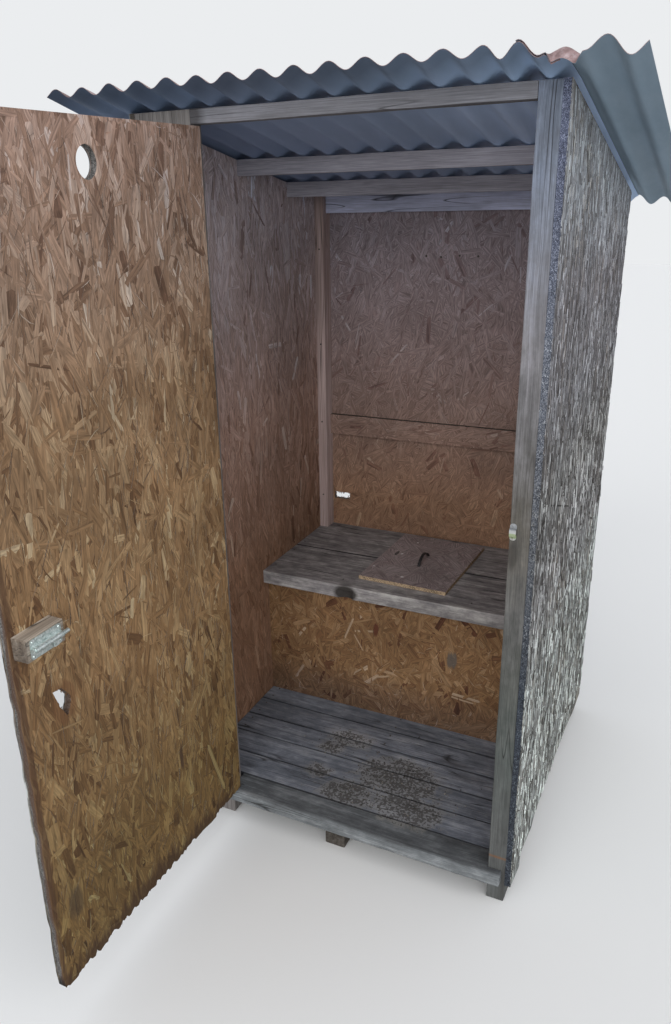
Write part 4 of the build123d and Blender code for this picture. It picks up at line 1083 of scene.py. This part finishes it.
strands("wall_edge_fray", HOUSE, face("front", 486, -506, 60), edge_fray, SPLINTERS, 0.0010, (0.016, 1.875), 2000, 42,
        90, 28, 0.0, (0.003, 0.010), (0.0006, 0.0014), 0.0010, 0.03, tones=(0.4, 0.22), light=0.14, dark=0.25)


# Nails and screws: name, body, slot, place, spots as (across, up) in metres, size, shapes and finish

def heads(spots, size, seed):
    """Rows of round heads, each turned and sized a little differently."""
    dice = random.Random(seed)
    return [((a, b, 0.0), (dice.gauss(0, 0.05), dice.gauss(0, 0.05), dice.uniform(0, pi)), (size, size, size),
             dice.random()) for a, b in spots]


FIRST_HEAD_SEED = 51
top_of_floor, frame_front = face("up", 0, 0, 100), face("front", 0, -508, 0)
hinge_screws = [foot + step for foot in (0.3125, 1.6125) for step in (0.010, 0.0375, 0.065)]
for seed, (name, body, slot, place, spots, size, shapes, finish) in enumerate((
        ("floor_nails", "house", "dark_steel", top_of_floor,
         [(x, -0.441 + FLOOR_PITCH * n + o) for n in range(6) for o in (0.022, 0.070) for x in (-0.456, 0.004, 0.456)],
         0.0065, NAIL, nail_steel),
        ("bench_nails", "house", "dark_steel", face("up", 0, 0, 571),
         [(x, y) for x in (-0.470, 0.470) for y in (0.052, 0.190, 0.275, 0.440)] + [(-0.21, 0.034), (0.22, 0.033)],
         0.006, NAIL, nail_steel),
        ("batten_nails", "house", "dark_steel", face("front", 0, 436, 0),
         [(x, z) for x in (-0.470, 0.469) for z in (0.70, 0.98, 1.26, 1.58)], 0.006, NAIL, nail_steel),
        ("back_nails", "house", "dark_steel", face("front", 0, 490, 0),
         [(-0.457 + a, 1.556 + b) for a, b in
          ((0.0, 0.004), (0.349, 0.0), (0.399, -0.003), (0.461, 0.002), (0.522, 0.0))], 0.007, NAIL, nail_steel),
        ("frame_hinge_screws", "house", "zinc_steel", frame_front, [(-0.350, z) for z in hinge_screws], 0.0065, SCREW,
         hinge_steel),
        ("door_hinge_screws", "door", "zinc_steel", face("left", -327.5, 0, 0), [(0.530, z) for z in hinge_screws],
         0.0065, SCREW, hinge_steel),
        ("bolt_screws", "door", "zinc_steel", face("right", -265, 0, 0),
         [(y, z) for y in (-1.1845, -1.2565) for z in (0.954, 0.984)], 0.005, SCREW, zinc),
        ("keeper_screws", "house", "painted_keeper", face("front", 0, -507.5, 0),
         [(0.4485, 1.0275), (0.4485, 1.0565)], 0.0055, SCREW, keeper_paint)), FIRST_HEAD_SEED):
    set_out(name, body, slot, place, heads(spots, size, seed), shapes, finish)


# Torn holes, long strands, crumbs and specks

def torn_edge(places, seed, reach=(0.005, 0.014)):
    """Splinters that point into a torn hole from places on its rim, each (across, up, direction in degrees)."""
    dice = random.Random(seed)
    rows = []
    for across, up, lean in places:
        angle, length = radians(lean + dice.gauss(0, 22)), dice.uniform(*reach)
        centre = (across + cos(angle) * length * 0.25, up + sin(angle) * length * 0.25, dice.uniform(-0.010, -0.001))
        rows.append((centre, (dice.gauss(0, 0.2), dice.gauss(0, 0.2), angle),
                     (length, dice.uniform(0.0012, 0.0032), 1.0), dice.uniform(0, 0.35)))
    return rows


def long_strand(across, up, rise, lean, length, width, tone):
    return (across, up, rise), (0.0, 0.0, radians(lean)), (length, width, 1.0), tone


hole_width, hole_height = 0.062, 0.026
pick = random.Random(62).uniform
back_hole = [(pick(0.0, hole_width), 0.0, 90) for _ in range(16)]
back_hole += [(pick(0.0, hole_width), hole_height, -90) for _ in range(16)]
back_hole += [(0.0, pick(0.0, hole_height), 0) for _ in range(8)]
back_hole += [(hole_width, pick(0.0, hole_height), 180) for _ in range(10)]
set_out("back_hole_splinters", *HOUSE, face("front", -447, 490, 673), torn_edge(back_hole, 63), SPLINTERS,
        back_board.loose, STRAND)
BREAK_MIDDLE = (BREAK[0], 0.690)
rim_leans = [(a, b, degrees(atan2(BREAK_MIDDLE[1] - b, BREAK_MIDDLE[0] - a))) for a, b in break_rim]
set_out("door_hole_splinters", *DOOR, door_in, torn_edge(rim_leans, 64, (0.004, 0.012)), SPLINTERS, door_board.loose,
        STRAND)
set_out("door_long_strand", *DOOR, door_in, [long_strand(0.645, 0.153, 0.0015, 109, 0.21, 0.013, 0.95)], FLAKES,
        door_board.loose, STRAND)
set_out("bench_bright_strands", *HOUSE, bench_face, [
    long_strand(0.700, 0.140, 0.0006, 176, 0.105, 0.010, 0.97),
    long_strand(0.690, 0.128, 0.0006, 174, 0.085, 0.006, 0.94),
    long_strand(0.300, 0.300, 0.0006, 68, 0.090, 0.007, 0.96),
    long_strand(0.335, 0.255, 0.0006, 120, 0.070, 0.005, 0.93)], FLAKES, bench_board.loose, STRAND)

ALL_CRUMBS, CRUMBS_PER_METRE = 400, 560
FLOOR_FRONT, FLOOR_BACK = -0.435, 0.015
dice = random.Random(61)
crumbs = []


def drop_crumb(across, up, edge, biggest, lightest):
    """One crumb at this place, where it is on the floor boards."""
    if abs(across) < edge and FLOOR_FRONT < up < FLOOR_BACK:
        size = dice.uniform(0.0014, biggest)
        crumbs.append(((across, up, size * 0.2), [dice.uniform(0, pi) for _ in range(3)],
                       (size * dice.uniform(1, 2.2), size, size * 0.7), dice.random() * lightest))


for (spot_x, spot_y, _), inner, outer, squeeze in DECK_DIRT:
    for _ in range(int(CRUMBS_PER_METRE * outer)):
        drop_crumb(dice.gauss(spot_x, outer * 0.42 / squeeze[0]), dice.gauss(spot_y, outer * 0.42), 0.45, 0.0042, 0.9)
while len(crumbs) < ALL_CRUMBS:
    a, b = dice.gauss(0.13, 0.10), dice.gauss(-0.33, 0.075)
    if dice.random() < 0.2:
        a, b = dice.uniform(-0.45, 0.45), dice.uniform(-0.43, 0.0)
    drop_crumb(a, b, 0.46, 0.0048, 1.0)
set_out("floor_crumbs", "house", "grey_timber", top_of_floor, crumbs, LUMPS, crumb_dirt)
specks = [((x, y, 0.0004), (0.0, 0.0, turn), (size, size * 0.7, 1.0), 0.8) for x, y, turn, size in
          ((-0.0314, 0.1025, 0.3, 0.010), (-0.08, 0.394, 1.2, 0.008), (-0.0973, 0.2795, 0.7, 0.009),
           (-0.1474, 0.1473, 0.0, 0.007))]
set_out("lid_specks", "lid", "strand_board", face("up", 0, 0, 583.3), specks, FLAKES, speck_paint, 0.0008)

for shapes in (FLAKES, SPLINTERS, LUMPS, NAIL, SCREW):
    for shape in list(shapes.objects):
        bpy.data.objects.remove(shape)


# Floor, light and camera

bpy.ops.mesh.primitive_plane_add(size=40.0)
floor_plane = bpy.context.object
floor_plane.name = "stage_floor"
f = Finish("stage floor")
camera_ray = f.out("ShaderNodeLightPath", output="Is Camera Ray")
f.paint(f.mix(camera_ray, (0.50, 0.50, 0.49, 1.0), (0.80, 0.80, 0.79, 1.0)), 1.0)
f.shader.inputs["Specular IOR Level"].default_value = 0.0
floor_plane.data.materials.append(f.material)

world = bpy.data.worlds.new("pale room")
bpy.context.scene.world = world
world.use_nodes = True
w = Wires(world.node_tree)
back = world.node_tree.nodes["Background"]
ray = w.node("ShaderNodeLightPath").outputs
seen = w.math("MAXIMUM", ray["Is Camera Ray"], ray["Is Glossy Ray"])
w.feed(back.inputs["Color"], w.mix(seen, (0.54, 0.56, 0.60, 1.0), (0.831, 0.847, 0.863, 1.0)))
back.inputs["Strength"].default_value = 1.0

# Broad soft lamps far away, so that their light is the same all over the object and the floor
for name, towards, spread, strength in (("front lamp", (0.12, -0.94, 0.28), 64.0, 2.05),
                                        ("side lamp", (0.93, -0.28, 0.30), 70.0, 1.6),
                                        ("top lamp", (-0.2, -0.3, 1.0), 80.0, 0.4)):
    lamp = bpy.data.lights.new(name, "SUN")
    lamp.angle = radians(spread)
    lamp.energy = strength
    added(name, lamp).rotation_euler = Vector(towards).to_track_quat("Z", "Y").to_euler()


def photo_camera():
    """The camera of the photograph: where it stood, where it looked and its lens, in pixels."""
    yaw, pitch, roll = radians(27.518), radians(-20.531), radians(-1.656)
    focal, picture_width, picture_height, middle_x, sensor = 846.04, 671, 1024.0, 298.62, 36.0
    ahead = Vector((-sin(yaw) * cos(pitch), cos(yaw) * cos(pitch), sin(pitch)))
    flat = Vector((cos(yaw), sin(yaw), 0.0))
    lift = flat.cross(ahead)
    right = cos(roll) * flat + sin(roll) * lift
    up = -sin(roll) * flat + cos(roll) * lift
    data = bpy.data.cameras.new("photo camera")
    data.sensor_width = sensor
    data.lens = focal * sensor / picture_height
    data.shift_x = (picture_width / 2 - middle_x) / picture_height
    camera = added("photo camera", data)
    turn = Matrix((right, up, -ahead)).transposed()
    camera.matrix_world = Matrix.Translation((0.830, -2.2646, 1.754)) @ turn.to_4x4()
    bpy.context.scene.camera = camera


photo_camera()
bpy.context.scene.view_settings.view_transform = "Standard"
